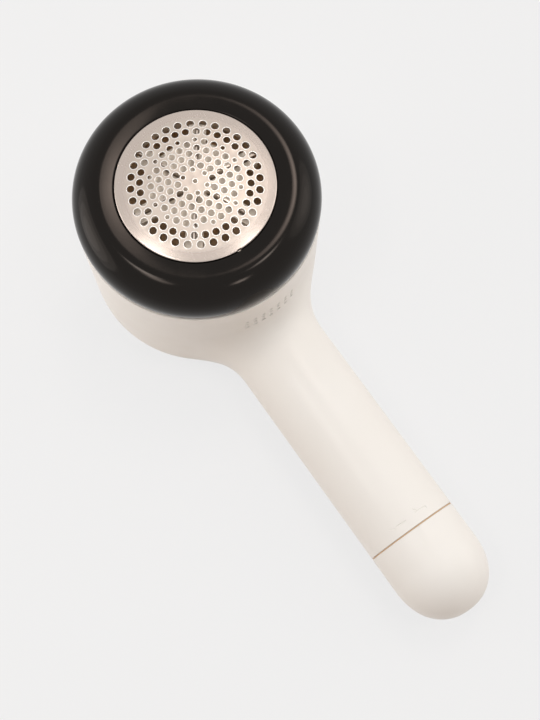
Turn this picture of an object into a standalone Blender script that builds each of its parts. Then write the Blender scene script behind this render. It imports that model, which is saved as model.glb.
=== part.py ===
"""Battery fabric shaver: a round drum with a domed cutting foil, and a round handle.

The shaver lies on its flat back. The origin is the middle of that back, on the
head's axis. +X runs along the handle, +Z points out of the foil. Metres.
"""
import math

import bmesh
import bpy
from mathutils import Vector
from mathutils.geometry import delaunay_2d_cdt

MM = 0.001

# Fits
GAP = 0.3 * MM              # air between two pieces that touch
SIDE_PLAY = 0.4 * MM        # air beside a piece that slides or turns

# Drum, the round end of the body
DRUM_RADIUS = 34.8 * MM
DRUM_WALL = 2.2 * MM
DRUM_TOP = 50.6 * MM        # shoulder on which the head ring stands
BACK_ROUND = 8.4 * MM       # rounding between the flat back and the drum's side
CHAMBER_INSET = 4.2 * MM    # from the drum's side to the bore of the lint chamber
COLLAR_WALL = 1.6 * MM
COLLAR_HEIGHT = 3.4 * MM    # collar inside the head ring
LEDGE_WIDTH = 5.1 * MM      # ledge under the motor mount
LEDGE_DEPTH = 9.6 * MM      # from the shoulder down to the ledge
LEDGE_THICKNESS = 2.0 * MM
BOSS_RADIUS = 2.6 * MM
BOSS_LENGTH = 8.0 * MM

# Handle and neck
HANDLE_WALL = 2.0 * MM
STRIP_ROOM = 3.45 * MM      # room for strips and switch between battery tube and handle
CELL_PAST_SEAM = 10.7 * MM  # how far the last cell reaches past the seam of the end cap
NECK_SIDE_FILLET = 18.0 * MM
NECK_TOP_FILLET = 7.0 * MM
NECK_SINK = 0.3 * MM        # how far the neck's fillets run into the drum wall
BORE_OVERLAP = 4.0 * MM     # from the tube's inner end to that of the handle's bore

# Air vents in the drum wall above the neck
VENT_DIAMETER = 0.8 * MM
VENT_COLUMNS = 7
VENT_PITCH_DEG = 4.37
VENT_TURN_DEG = 1.45        # the middle column's angle from the handle
VENT_DEPTH = 6.75 * MM       # from the ledge down to the lowest row
VENT_ROW_STEP = 2.1 * MM
VENT_ROWS = 3

# Head ring
RING_ROUND = 9.46 * MM      # radius of the ring's outer rounding
RING_ROUND_DROP = 11.6 * MM  # from the foil's apex down to the rounding's centre
RING_CREST_INSET = 7.6 * MM
RING_LIP_DROP = 0.45 * MM   # fall of the flat rim towards the foil
RING_SKIRT_WALL = 2.2 * MM
RING_RIB_WIDTH = 2.4 * MM   # rib that holds the foil's flange down

# Twist locks
RING_TWIST_DEG = 30.0
RING_LUGS = 3
RING_LUG_HEIGHT = 1.6 * MM
CAP_TWIST_DEG = 30.0
CAP_LUGS = 2
CAP_LUG_LENGTH = 1.6 * MM
LUG_HALF_DEG = 5.0
LUG_PLAY_DEG = 2.0
LUG_DEPTH = 1.0 * MM

# Foil, the domed perforated cutting screen
HEAD_HEIGHT = 15.3 * MM     # from the shoulder up to the foil's apex
DOME_RADIUS = 95.0 * MM
FOIL_THICKNESS = 0.4 * MM
RING_WIDTH = 12.6 * MM      # from the drum's side to the foil
FOIL_DEPTH = 5.8 * MM       # from the apex down to the foil's flange
FOIL_FLANGE_WIDTH = 3.1 * MM
HOLE_SIDES = 6
DOT_SIDES = 5
RIM_HOLES = 32
RIM_MARGIN = 4.6 * MM       # from the foil's edge to the outer circle of holes
RIM_HOLE_DIAMETER = 2.1 * MM
RIM_PHASE_DEG = 4.2
CIRCLE_STEP = 2.49 * MM     # between the two circles of holes
SECOND_HOLE_DIAMETER = 2.0 * MM
LATTICE_SHARE = 0.18266     # pitch of the lattice, as a share of the second circle
LATTICE_DEG = -22.5
LATTICE_HOLE_SHARE = 0.67   # hole diameter in pitches
LATTICE_INNER = 1.5         # lattice holes start at this many pitches
LATTICE_OUTER = 4.4
DOT_DIAMETER = 1.2 * MM
OUTER_DOT_PITCHES = 4.51
OUTER_DOT_SPREAD_DEG = 11.2
INNER_DOT_PITCHES = 1.25

# Foil frame
FRAME_THICKNESS = 2.0 * MM
FRAME_OUTER_PLAY = 0.5 * MM
FRAME_SKIRT_WALL = 1.4 * MM
FRAME_INSET = 2.4 * MM      # from the foil's edge to the frame's bore
FRAME_RIM_WALL = 1.6 * MM
FRAME_RIM_GAP = 0.76 * MM   # air between the frame's rim and the dome

# Lint cup
CUP_FLOOR = 1.2 * MM
CUP_WALL = 1.4 * MM
CUP_RISE = 3.0 * MM         # cup's rim above the shoulder
CUP_SLEEVE_WALL = 1.2 * MM
CUP_SLEEVE_HEIGHT = 5.3 * MM

# Motor mount plate
MOUNT_THICKNESS = 2.4 * MM
MOUNT_SCREW_INSET = 1.9 * MM  # from the ledge's edge to the screws
MOUNT_SCREWS = 3
MOUNT_SCREW_DEG = 60.0
MOUNT_SCREW_LENGTH = 9.3 * MM
MOUNT_SCREW_RADIUS = 1.1 * MM
MOTOR_SCREW_CIRCLE = 8.0 * MM
MOTOR_SCREWS = 2
MOTOR_SCREW_LENGTH = 5.0 * MM
MOTOR_SCREW_RADIUS = 0.8 * MM
SCREW_HEAD_RADIUS = 2.0 * MM
SCREW_HEAD_HEIGHT = 1.1 * MM
SEAL_RADIUS = 4.3 * MM
SEAL_THICKNESS = 0.8 * MM

# Motor
MOTOR_RADIUS = 12.0 * MM
WIRING_ROOM = 10.4 * MM     # between the drum's back wall and the motor can
MOTOR_EDGE = 1.2 * MM
MOTOR_BOSS_RADIUS = 3.0 * MM
MOTOR_BOSS_HEIGHT = 1.6 * MM
MOTOR_BORE_DEPTH = 12.0 * MM
BELL_INSET = 0.4 * MM
BELL_HEIGHT = 3.1 * MM
TERMINAL_SPACING = 11.0 * MM
TERMINAL_SIZE = (0.6 * MM, 2.2 * MM, 3.0 * MM)

# Rotor
SHAFT_RADIUS = 1.0 * MM
SHAFT_DROP = 3.3 * MM       # from the driver's top down to the shaft's end
HUB_RISE = 1.9 * MM         # driver above the motor mount
HUB_FLANGE_THICKNESS = 1.2 * MM
HUB_HEX_RADIUS = 3.2 * MM   # corner radius of the six-sided driver
HUB_DROP = 4.7 * MM         # from the holder's top down to the driver's end
FLOAT_TRAVEL = 1.5 * MM     # how far the blades give way under the foil
HOLDER_DROP = 3.7 * MM      # from the foil's apex down to the blade holder
HOLDER_THICKNESS = 1.8 * MM
ARM_LENGTH = 5.3 * MM       # arms of the holder beyond its disc
HOLDER_SLEEVE_LENGTH = 8.4 * MM
HOLDER_SLEEVE_WALL = 1.1 * MM
ARM_PLAY = 1.5 * MM         # from the arms to the foil frame
ARM_HALF_WIDTH = 2.4 * MM
BLADES = 6
BLADE_PHASE_DEG = 24.2
BLADE_THICKNESS = 0.5 * MM
BLADE_INNER = 3.6 * MM
BLADE_OVERHANG = 0.2 * MM   # blade beyond its arm
BLADE_SLOT_DEPTH = 1.0 * MM

# Springs
BLADE_SPRING_WIRE = 0.6 * MM
BLADE_SPRING_TURNS = 3.5
BATTERY_SPRING_WIRE = 0.8 * MM
BATTERY_SPRING_TURNS = 4.0
BATTERY_SPRING_SMALL = 3.5 * MM
BATTERY_SPRING_LARGE = 5.5 * MM
BATTERY_SPRING_LENGTH = 7.4 * MM

# Batteries and their tube
CELL_RADIUS = 7.25 * MM
CELL_LENGTH = 50.5 * MM
CELL_COUNT = 2
NIPPLE_RADIUS = 2.75 * MM
NIPPLE_LENGTH = 1.0 * MM
TUBE_FROM_MOTOR = 3.0 * MM
TUBE_END_GAP = 1.8 * MM     # from the tube's open end to the seam
TUBE_WALL = 1.2 * MM
TUBE_END_WALL = 1.2 * MM
INNER_COLLAR = 15.0 * MM    # from the tube's inner end to its first collar
OUTER_COLLAR = 10.0 * MM    # from the second collar to the tube's open end
TUBE_COLLAR_LENGTH = 2.5 * MM
CONTACT_THICKNESS = 0.4 * MM
CONTACT_RADIUS = 6.9 * MM
CONTACT_STEM_RADIUS = 1.8 * MM
CONTACT_STEM_OVERHANG = 1.1 * MM

# End cap
CAP_STRAIGHT = 11.5 * MM    # from the seam to the start of the rounded end
CAP_ROUND_LENGTH = 16.4 * MM
CAP_ROUND_POWER = 2.2
SPIGOT_LENGTH = 6.8 * MM
SPIGOT_WALL = 1.9 * MM
CAP_HOLLOW_RADIUS = 7.0 * MM
CAP_END_WALL = 2.5 * MM
CAP_PLATE_THICKNESS = 0.5 * MM
SEAL_GROOVE_DEPTH = 0.9 * MM
SEAL_GROOVE_WIDTH = 1.4 * MM
SEAL_FROM_SEAM = 3.2 * MM

# Slide switch under the handle
SWITCH_FROM_TUBE = 33.0 * MM  # from the tube's inner end to the knob in its off position
SWITCH_TRAVEL = 4.0 * MM
KNOB_LENGTH = 9.0 * MM
KNOB_WIDTH = 7.2 * MM
KNOB_FACE = 0.6 * MM        # knob's outer face above the resting plane
KNOB_GROOVES = 4
KNOB_GROOVE_DEPTH = 0.5 * MM
FLANGE_MARGIN = 2.0 * MM
FLANGE_SIDE_MARGIN = 1.6 * MM
FLANGE_THICKNESS = 0.7 * MM
POCKET_SEAT = 0.2 * MM      # flange's seat above the lowest line of the bore
BRIDGE_LENGTH = 5.6 * MM
BRIDGE_WIDTH = 3.2 * MM
STRIP_WIDTH = 2.4 * MM
STRIP_THICKNESS = 0.4 * MM
LEAF_BEFORE_KNOB = 10.0 * MM
LEAF_PAST_KNOB_START = 7.0 * MM
LEAF_STRIP_GAP = 2.2 * MM
WIRE_RADIUS = 0.5 * MM
WIRE_RISE = 1.5 * MM         # the switch wire's run above the drum's back wall
WIRE_DIP = 2.0 * MM          # along which the switch wire drops from the leaf

# Fineness of the round shapes
FINE = 48
MEDIUM = 32
COARSE = 20
SMALL = 10

INNER_RADIUS = DRUM_RADIUS - DRUM_WALL
CHAMBER_RADIUS = DRUM_RADIUS - CHAMBER_INSET
COLLAR_RADIUS = CHAMBER_RADIUS + COLLAR_WALL
COLLAR_TOP = DRUM_TOP + COLLAR_HEIGHT
LEDGE_RADIUS = CHAMBER_RADIUS - LEDGE_WIDTH
LEDGE_TOP = DRUM_TOP - LEDGE_DEPTH
VENT_LOWEST = LEDGE_TOP - VENT_DEPTH
MOUNT_BOTTOM = LEDGE_TOP + GAP
MOUNT_TOP = MOUNT_BOTTOM + MOUNT_THICKNESS
MOUNT_SCREW_CIRCLE = LEDGE_RADIUS + MOUNT_SCREW_INSET
MOTOR_TOP = MOUNT_BOTTOM - 2 * GAP
MOTOR_BOTTOM = DRUM_WALL + WIRING_ROOM
BELL_BOTTOM = MOTOR_BOTTOM - GAP - BELL_HEIGHT
CUP_BOTTOM = MOUNT_TOP + GAP
CUP_RIM = DRUM_TOP + CUP_RISE

FOIL_RADIUS = DRUM_RADIUS - RING_WIDTH
DOME_APEX = DRUM_TOP + HEAD_HEIGHT
FOIL_SKIRT_BOTTOM = DOME_APEX - FOIL_DEPTH
RIM_CIRCLE_RADIUS = FOIL_RADIUS - RIM_MARGIN
SECOND_CIRCLE_RADIUS = RIM_CIRCLE_RADIUS - CIRCLE_STEP
LATTICE_PITCH = SECOND_CIRCLE_RADIUS * LATTICE_SHARE
LATTICE_HOLE_DIAMETER = LATTICE_PITCH * LATTICE_HOLE_SHARE
FRAME_BOTTOM = CUP_RIM + GAP
FRAME_TOP = FOIL_SKIRT_BOTTOM - GAP
FRAME_RADIUS = CHAMBER_RADIUS - FRAME_OUTER_PLAY
FRAME_INNER_RADIUS = FOIL_RADIUS - FRAME_INSET
RING_BOTTOM = DRUM_TOP + GAP
RING_ROUND_HEIGHT = DOME_APEX - RING_ROUND_DROP
RING_CREST_RADIUS = DRUM_RADIUS - RING_CREST_INSET
RING_OPENING_RADIUS = FOIL_RADIUS + SIDE_PLAY

HOLDER_TOP = DOME_APEX - HOLDER_DROP
HOLDER_SLEEVE_BOTTOM = HOLDER_TOP - HOLDER_THICKNESS - HOLDER_SLEEVE_LENGTH
ARM_RADIUS = FRAME_INNER_RADIUS - ARM_PLAY
HOLDER_RADIUS = ARM_RADIUS - ARM_LENGTH
BLADE_OUTER = ARM_RADIUS + BLADE_OVERHANG
BLADE_FLOOR = HOLDER_TOP - BLADE_SLOT_DEPTH
HUB_BASE = MOUNT_TOP + HUB_RISE
HUB_TOP = HOLDER_TOP - HUB_DROP
HUB_FLANGE_RADIUS = HUB_HEX_RADIUS + SIDE_PLAY + HOLDER_SLEEVE_WALL
CUP_SLEEVE_BORE = HUB_FLANGE_RADIUS + SIDE_PLAY
SHAFT_TOP = HUB_TOP - SHAFT_DROP

TUBE_BORE = CELL_RADIUS + GAP
TUBE_RADIUS = TUBE_BORE + TUBE_WALL
BORE_RADIUS = TUBE_RADIUS + STRIP_ROOM
HANDLE_RADIUS = BORE_RADIUS + HANDLE_WALL
AXIS_Z = HANDLE_RADIUS                     # height of the handle's axis
TUBE_START = MOTOR_RADIUS + TUBE_FROM_MOTOR
BORE_START = TUBE_START + BORE_OVERLAP
CONTACT_X = TUBE_START + TUBE_END_WALL + GAP
FIRST_CELL_X = CONTACT_X + CONTACT_THICKNESS + GAP
LAST_CELL_END = FIRST_CELL_X + CELL_COUNT * CELL_LENGTH + (CELL_COUNT - 1) * GAP
SEAM_X = LAST_CELL_END - CELL_PAST_SEAM    # where the handle meets its end cap
TUBE_OPEN_END = SEAM_X - TUBE_END_GAP
COLLAR_STARTS = (TUBE_START + INNER_COLLAR, TUBE_OPEN_END - OUTER_COLLAR)
CAP_START = SEAM_X + SIDE_PLAY
CAP_END = SEAM_X + CAP_STRAIGHT + CAP_ROUND_LENGTH
SPIGOT_START = SEAM_X - SPIGOT_LENGTH
SPIGOT_RADIUS = BORE_RADIUS - GAP
CAP_BORE = SPIGOT_RADIUS - SPIGOT_WALL
CAP_PLATE_X = LAST_CELL_END + GAP + BATTERY_SPRING_LENGTH + GAP
STRIP_TOP = AXIS_Z - TUBE_RADIUS - GAP
STRIP_BOTTOM = STRIP_TOP - STRIP_THICKNESS
SWITCH_X = TUBE_START + SWITCH_FROM_TUBE
LEAF_START = SWITCH_X - LEAF_BEFORE_KNOB
LEAF_END = SWITCH_X + LEAF_PAST_KNOB_START
STRIP_START = LEAF_END + LEAF_STRIP_GAP
POCKET_FLOOR = HANDLE_WALL + POCKET_SEAT

CREAM = (0.83, 0.79, 0.72)
BLACK = (0.012, 0.010, 0.009)
STEEL = (0.74, 0.71, 0.68)
BRASS = (0.62, 0.47, 0.22)
BROWN = (0.17, 0.075, 0.035)
PALE_GREY = (0.62, 0.60, 0.56)
DARK_GREY = (0.05, 0.05, 0.055)


def clear_scene():
    """Remove every object of the start-up scene."""
    for thing in list(bpy.data.objects):
        bpy.data.objects.remove(thing, do_unlink=True)


def material(name, colour, roughness, metallic=0.0):
    """A plain Principled material."""
    made = bpy.data.materials.new(name)
    made.use_nodes = True
    shader = made.node_tree.nodes["Principled BSDF"]
    shader.inputs["Base Color"].default_value = (*colour, 1.0)
    shader.inputs["Roughness"].default_value = roughness
    shader.inputs["Metallic"].default_value = metallic
    return made


def pivot(name, place):
    """An empty on a joint's axis, which carries the pieces that move with it."""
    empty = bpy.data.objects.new(name, None)
    empty.location = place
    empty.empty_display_size = 5 * MM
    bpy.context.collection.objects.link(empty)
    return empty


def add_object(name, bm, look=None, parent=None, smooth_deg=35.0):
    """Turn a bmesh in world coordinates into an object, under its pivot if it has one."""
    bmesh.ops.recalc_face_normals(bm, faces=bm.faces)
    if parent is not None:
        bmesh.ops.translate(bm, verts=bm.verts, vec=-Vector(parent.location))
    mesh = bpy.data.meshes.new(name)
    bm.to_mesh(mesh)
    bm.free()
    mesh.shade_smooth()
    mesh.set_sharp_from_angle(angle=math.radians(smooth_deg))
    thing = bpy.data.objects.new(name, mesh)
    bpy.context.collection.objects.link(thing)
    if parent is not None:
        thing.parent = parent
    if look is not None:
        mesh.materials.append(look)
    return thing


def hide_tool(tool):
    """Mark a cutter or a guide, which is no piece of the shaver."""
    tool.hide_render = True
    tool.display_type = "WIRE"


def combine(target, tool, operation):
    """Add an exact Boolean to the target and hide its tool."""
    hide_tool(tool)
    modifier = target.modifiers.new(operation.lower() + "_" + tool.name, "BOOLEAN")
    modifier.operation = operation
    modifier.solver = "EXACT"
    modifier.object = tool


def cut(target, tool):
    combine(target, tool, "DIFFERENCE")


def join(target, tool):
    combine(target, tool, "UNION")


def arc(centre_r, centre_h, radius, start_deg, end_deg, steps):
    """Points along an arc in a turned profile, as (radius, height)."""
    points = []
    for i in range(steps + 1):
        angle = math.radians(start_deg + (end_deg - start_deg) * i / steps)
        points.append((centre_r + radius * math.cos(angle), centre_h + radius * math.sin(angle)))
    return points


def on_z(radius, angle, height):
    """A point of a shape turned about the head's axis."""
    return Vector((radius * math.cos(angle), radius * math.sin(angle), height))


def on_x(radius, angle, height):
    """A point of a shape turned about the handle's axis, where the height runs along X."""
    return Vector((height, radius * math.cos(angle), AXIS_Z + radius * math.sin(angle)))


def add_turned(bm, profile, segments, place=on_z, offset=(0, 0, 0), phase=0.0):
    """Turn a closed profile of (radius, height) points; a radius of 0 lies on the axis.

    The phase turns the shape by a share of one segment.
    """
    rings = []
    for radius, height in profile:
        if radius == 0:
            rings.append([bm.verts.new(place(0, 0, height) + Vector(offset))])
            continue
        ring = []
        for k in range(segments):
            angle = 2 * math.pi * (k + phase) / segments
            ring.append(bm.verts.new(place(radius, angle, height) + Vector(offset)))
        rings.append(ring)
    for i, ring in enumerate(rings):
        following = rings[(i + 1) % len(rings)]
        if len(ring) == 1 and len(following) == 1:
            continue
        for k in range(segments):
            corners = [ring[k % len(ring)], ring[(k + 1) % len(ring)],
                       following[(k + 1) % len(following)], following[k % len(following)]]
            corners = list(dict.fromkeys(corners))
            bm.faces.new(corners)


def turned(name, profile, look=None, segments=FINE, place=on_z, offset=(0, 0, 0), parent=None):
    """An object turned from one closed profile."""
    bm = bmesh.new()
    add_turned(bm, profile, segments, place, offset)
    return add_object(name, bm, look, parent)


def turned_tool(name, profile, segments=FINE, place=on_z):
    """A turned cutter, half a segment round from the shape that it cuts."""
    bm = bmesh.new()
    add_turned(bm, profile, segments, place, phase=0.5)
    return add_object(name, bm)


def disc(radius, low, high):
    """Profile of a plain solid disc or rod."""
    return [(0, low), (radius, low), (radius, high), (0, high)]


def tube(inner, outer, low, high):
    """Profile of a plain tube."""
    return [(inner, low), (outer, low), (outer, high), (inner, high)]


def add_box(bm, low, high, turn_deg=0.0):
    """A box between two corners, turned about the head's axis."""
    turn = math.radians(turn_deg)
    corners = []
    for x in (low[0], high[0]):
        for y in (low[1], high[1]):
            for z in (low[2], high[2]):
                turned_x = x * math.cos(turn) - y * math.sin(turn)
                turned_y = x * math.sin(turn) + y * math.cos(turn)
                corners.append(bm.verts.new((turned_x, turned_y, z)))
    for face in ((0, 1, 3, 2), (4, 6, 7, 5), (0, 4, 5, 1), (2, 3, 7, 6), (0, 2, 6, 4), (1, 5, 7, 3)):
        bm.faces.new([corners[i] for i in face])


def box(name, low, high, look=None, parent=None):
    """A box object."""
    bm = bmesh.new()
    add_box(bm, low, high)
    return add_object(name, bm, look, parent)


def add_sector(bm, inner, outer, low, high, start_deg, end_deg, place=on_z, steps=8):
    """A slice of a ring between two angles, closed at both ends."""
    sections = []
    for i in range(steps + 1):
        angle = math.radians(start_deg + (end_deg - start_deg) * i / steps)
        section = []
        for radius, height in tube(inner, outer, low, high):
            section.append(bm.verts.new(place(radius, angle, height)))
        sections.append(section)
    for before, after in zip(sections, sections[1:]):
        for k in range(4):
            bm.faces.new((before[k], before[(k + 1) % 4], after[(k + 1) % 4], after[k]))
    bm.faces.new(sections[0])
    bm.faces.new(list(reversed(sections[-1])))


def ring_lug_angles():
    return [360.0 * i / RING_LUGS for i in range(RING_LUGS)]


def cap_lug_angles():
    return [360.0 * i / CAP_LUGS for i in range(CAP_LUGS)]


def add_prism(bm, outline, low, high):
    """Extrude a closed (x, y) outline between two heights."""
    bottom = [bm.verts.new((x, y, low)) for x, y in outline]
    top = [bm.verts.new((x, y, high)) for x, y in outline]
    bm.faces.new(list(reversed(bottom)))
    bm.faces.new(top)
    count = len(outline)
    for k in range(count):
        following = (k + 1) % count
        bm.faces.new((bottom[k], bottom[following], top[following], top[k]))


def wire(name, points, radius, look, parent=None, sides=1):
    """A round wire along its points, with closed ends."""
    curve = bpy.data.curves.new(name, "CURVE")
    curve.dimensions = "3D"
    curve.bevel_depth = radius
    curve.bevel_resolution = sides
    curve.use_fill_caps = True
    spline = curve.splines.new("POLY")
    spline.points.add(len(points) - 1)
    shift = Vector(parent.location) if parent is not None else Vector((0, 0, 0))
    for spot, point in zip(spline.points, points):
        spot.co = (*(Vector(point) - shift), 1.0)
    curve.materials.append(look)
    thing = bpy.data.objects.new(name, curve)
    bpy.context.collection.objects.link(thing)
    if parent is not None:
        thing.parent = parent
    return thing


def smooth_route(stations, steps=4):
    """A smooth curve through hand-chosen points, as a finer list of points."""
    stations = [Vector(p) for p in stations]
    padded = [2 * stations[0] - stations[1]] + stations + [2 * stations[-1] - stations[-2]]
    points = []
    for i in range(1, len(padded) - 2):
        p0, p1, p2, p3 = padded[i - 1:i + 3]
        for k in range(steps):
            t = k / steps
            points.append(0.5 * (2 * p1 + (p2 - p0) * t + (2 * p0 - 5 * p1 + 4 * p2 - p3) * t ** 2
                                 + (3 * p1 - p0 - 3 * p2 + p3) * t ** 3))
    points.append(stations[-1])
    return points


def coil(turns, low, high, radius_low, radius_high, place, per_turn=10):
    """Points along a coil spring about one of the two axes."""
    count = round(turns * per_turn)
    points = []
    for i in range(count + 1):
        share = i / count
        radius = radius_low + (radius_high - radius_low) * share
        points.append(place(radius, 2 * math.pi * turns * share, low + (high - low) * share))
    return points


def dome_height(radius):
    """Height of the foil's outer surface at a distance from the head's axis."""
    return DOME_APEX - DOME_RADIUS + math.sqrt(DOME_RADIUS ** 2 - radius ** 2)


def side_fillet():
    """Centre (x, y) of the fillet beside the neck, and the X where it meets the drum."""
    reach = DRUM_RADIUS + NECK_SIDE_FILLET - NECK_SINK
    centre_y = HANDLE_RADIUS + NECK_SIDE_FILLET
    centre_x = math.sqrt(reach ** 2 - centre_y ** 2)
    return centre_x, centre_y, centre_x * (DRUM_RADIUS - NECK_SINK) / reach


def neck_half_width(x):
    """Half width of the neck, along the fillet between the drum and the handle's side."""
    centre_x, centre_y, touch_x = side_fillet()
    if x >= centre_x:
        return HANDLE_RADIUS
    x = max(x, touch_x)
    return centre_y - math.sqrt(NECK_SIDE_FILLET ** 2 - (centre_x - x) ** 2)


def neck_top(x):
    """Height of the neck's top line, along the fillet between the drum wall and the handle."""
    wall_x = DRUM_RADIUS - NECK_SINK
    centre_x = wall_x + NECK_TOP_FILLET
    centre_z = 2 * HANDLE_RADIUS + NECK_TOP_FILLET
    if x >= centre_x:
        return 2 * HANDLE_RADIUS
    x = max(x, wall_x)
    return centre_z - math.sqrt(NECK_TOP_FILLET ** 2 - (centre_x - x) ** 2)


def handle_guide():
    """The outside of the neck and handle as one loft, closed at both ends."""
    side_end, _, side_start = side_fillet()
    wall_x = DRUM_RADIUS - NECK_SINK
    neck_end = max(side_end, wall_x + NECK_TOP_FILLET)
    inside = side_start - DRUM_WALL
    stations = [inside, side_start]
    stations += [side_start + (wall_x - side_start) * i / 4 for i in range(1, 5)]
    stations += [wall_x + (neck_end - wall_x) * (i / 6) ** 1.6 for i in range(1, 7)]
    stations += [SEAM_X]
    bm = bmesh.new()
    rings = []
    for x in stations:
        half_width = neck_half_width(x)
        depth = AXIS_Z
        if x < side_start:
            half_width -= DRUM_WALL
            depth -= DRUM_WALL
        rise = neck_top(x) - AXIS_Z
        ring = []
        for k in range(MEDIUM):
            angle = 2 * math.pi * k / MEDIUM
            height = rise if math.sin(angle) > 0 else depth
            ring.append(bm.verts.new((x, half_width * math.cos(angle), AXIS_Z + height * math.sin(angle))))
        rings.append(ring)
    for before, after in zip(rings, rings[1:]):
        for k in range(MEDIUM):
            following = (k + 1) % MEDIUM
            bm.faces.new((before[k], before[following], after[following], after[k]))
    bm.faces.new(rings[0])
    bm.faces.new(list(reversed(rings[-1])))
    return add_object("handle_guide", bm)


def mount_screw_spots():
    """Where the motor mount's screws stand, as (x, y)."""
    spots = []
    for i in range(MOUNT_SCREWS):
        angle = math.radians(MOUNT_SCREW_DEG + 360.0 * i / MOUNT_SCREWS)
        spots.append((MOUNT_SCREW_CIRCLE * math.cos(angle), MOUNT_SCREW_CIRCLE * math.sin(angle)))
    return spots


def motor_screw_spots():
    """Where the motor's own screws stand, as (x, y)."""
    spots = []
    for i in range(MOTOR_SCREWS):
        angle = math.radians(90.0 + 360.0 * i / MOTOR_SCREWS)
        spots.append((MOTOR_SCREW_CIRCLE * math.cos(angle), MOTOR_SCREW_CIRCLE * math.sin(angle)))
    return spots


def rods(name, spots, radius, low, high, segments=SMALL):
    """One tool of several upright rods, turned so that no corner meets an edge of the plate."""
    bm = bmesh.new()
    for x, y in spots:
        add_turned(bm, disc(radius, low, high), segments, offset=(x, y, 0), phase=0.3)
    return add_object(name, bm)


def body_shell(look):
    """Drum and handle in one moulding, with its ledge, bosses, collar, vents and switch window."""
    side = [(0, 0)] + arc(DRUM_RADIUS - BACK_ROUND, BACK_ROUND, BACK_ROUND, -90, 0, 6)
    top = [(DRUM_RADIUS, DRUM_TOP), (COLLAR_RADIUS, DRUM_TOP), (COLLAR_RADIUS, COLLAR_TOP)]
    top += [(CHAMBER_RADIUS, COLLAR_TOP), (CHAMBER_RADIUS, LEDGE_TOP), (0, LEDGE_TOP)]
    shell = turned("body_shell", side + top, look)
    join(shell, handle_guide())

    ledge_bottom = LEDGE_TOP - LEDGE_THICKNESS
    corner = BACK_ROUND - DRUM_WALL
    room = [(0, DRUM_WALL)] + arc(INNER_RADIUS - corner, BACK_ROUND, corner, -90, 0, 4)
    room += [(INNER_RADIUS, ledge_bottom), (LEDGE_RADIUS, ledge_bottom)]
    room += [(LEDGE_RADIUS, LEDGE_TOP + DRUM_WALL), (0, LEDGE_TOP + DRUM_WALL)]
    cut(shell, turned_tool("room_cutter", room))
    bore = disc(BORE_RADIUS, BORE_START, SEAM_X + DRUM_WALL)
    cut(shell, turned_tool("bore_cutter", bore, MEDIUM, on_x))

    boss_top = LEDGE_TOP - LEDGE_THICKNESS / 2
    join(shell, rods("boss_guide", mount_screw_spots(), BOSS_RADIUS, ledge_bottom - BOSS_LENGTH, boss_top))
    pilot_bottom = MOUNT_TOP - GAP / 2 - SCREW_HEAD_HEIGHT - MOUNT_SCREW_LENGTH - GAP
    pilot = MOUNT_SCREW_RADIUS + GAP
    cut(shell, rods("pilot_cutter", mount_screw_spots(), pilot, pilot_bottom, LEDGE_TOP + GAP))

    bm = bmesh.new()
    for angle in ring_lug_angles():
        start = angle - LUG_HALF_DEG - LUG_PLAY_DEG
        end = angle + RING_TWIST_DEG + LUG_HALF_DEG + LUG_PLAY_DEG
        add_sector(bm, CHAMBER_RADIUS - DRUM_WALL, COLLAR_RADIUS + GAP, RING_BOTTOM,
                   COLLAR_TOP + GAP, start, end)
    cut(shell, add_object("ring_slot_cutter", bm))

    bm = bmesh.new()
    slot_x = SPIGOT_START + SIDE_PLAY
    for angle in cap_lug_angles():
        start = angle - LUG_HALF_DEG - LUG_PLAY_DEG
        end = angle + CAP_TWIST_DEG + LUG_HALF_DEG + LUG_PLAY_DEG
        add_sector(bm, BORE_RADIUS - LUG_DEPTH, BORE_RADIUS + LUG_DEPTH, slot_x, SEAM_X + DRUM_WALL,
                   start, end, place=on_x)
    cut(shell, add_object("cap_slot_cutter", bm))
    cut(shell, vent_cutter())

    window_end = SWITCH_X + KNOB_LENGTH + SWITCH_TRAVEL + SIDE_PLAY
    half = KNOB_WIDTH / 2 + SIDE_PLAY
    cut(shell, box("window_cutter", (SWITCH_X - SIDE_PLAY, -half, -DRUM_WALL), (window_end, half, 2 * POCKET_FLOOR)))
    pocket_half = KNOB_WIDTH / 2 + FLANGE_SIDE_MARGIN + SIDE_PLAY
    pocket_low = (SWITCH_X - FLANGE_MARGIN - SIDE_PLAY, -pocket_half, POCKET_FLOOR)
    pocket_high = (window_end + FLANGE_MARGIN, pocket_half, AXIS_Z - BORE_RADIUS / 2)
    cut(shell, box("pocket_cutter", pocket_low, pocket_high))
    return shell


def vent_cutter():
    """Rows of short rods that pierce the drum wall above the neck."""
    bm = bmesh.new()
    inner = INNER_RADIUS - DRUM_WALL / 2
    outer = DRUM_RADIUS + NECK_TOP_FILLET / 2
    for column in range(VENT_COLUMNS):
        angle = math.radians(VENT_TURN_DEG + VENT_PITCH_DEG * (column - (VENT_COLUMNS - 1) / 2))
        along = Vector((math.cos(angle), math.sin(angle), 0))
        across = Vector((-math.sin(angle), math.cos(angle), 0))
        for row in range(VENT_ROWS):
            centre = Vector((0, 0, VENT_LOWEST + VENT_ROW_STEP * row))
            ends = []
            for reach in (inner, outer):
                ring = []
                for k in range(DOT_SIDES):
                    turn = 2 * math.pi * k / DOT_SIDES
                    around = across * math.cos(turn) + Vector((0, 0, 1)) * math.sin(turn)
                    ring.append(bm.verts.new(centre + along * reach + around * VENT_DIAMETER / 2))
                ends.append(ring)
            for k in range(DOT_SIDES):
                following = (k + 1) % DOT_SIDES
                bm.faces.new((ends[0][k], ends[0][following], ends[1][following], ends[1][k]))
            bm.faces.new(ends[0])
            bm.faces.new(list(reversed(ends[1])))
    return add_object("vent_cutter", bm)


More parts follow.
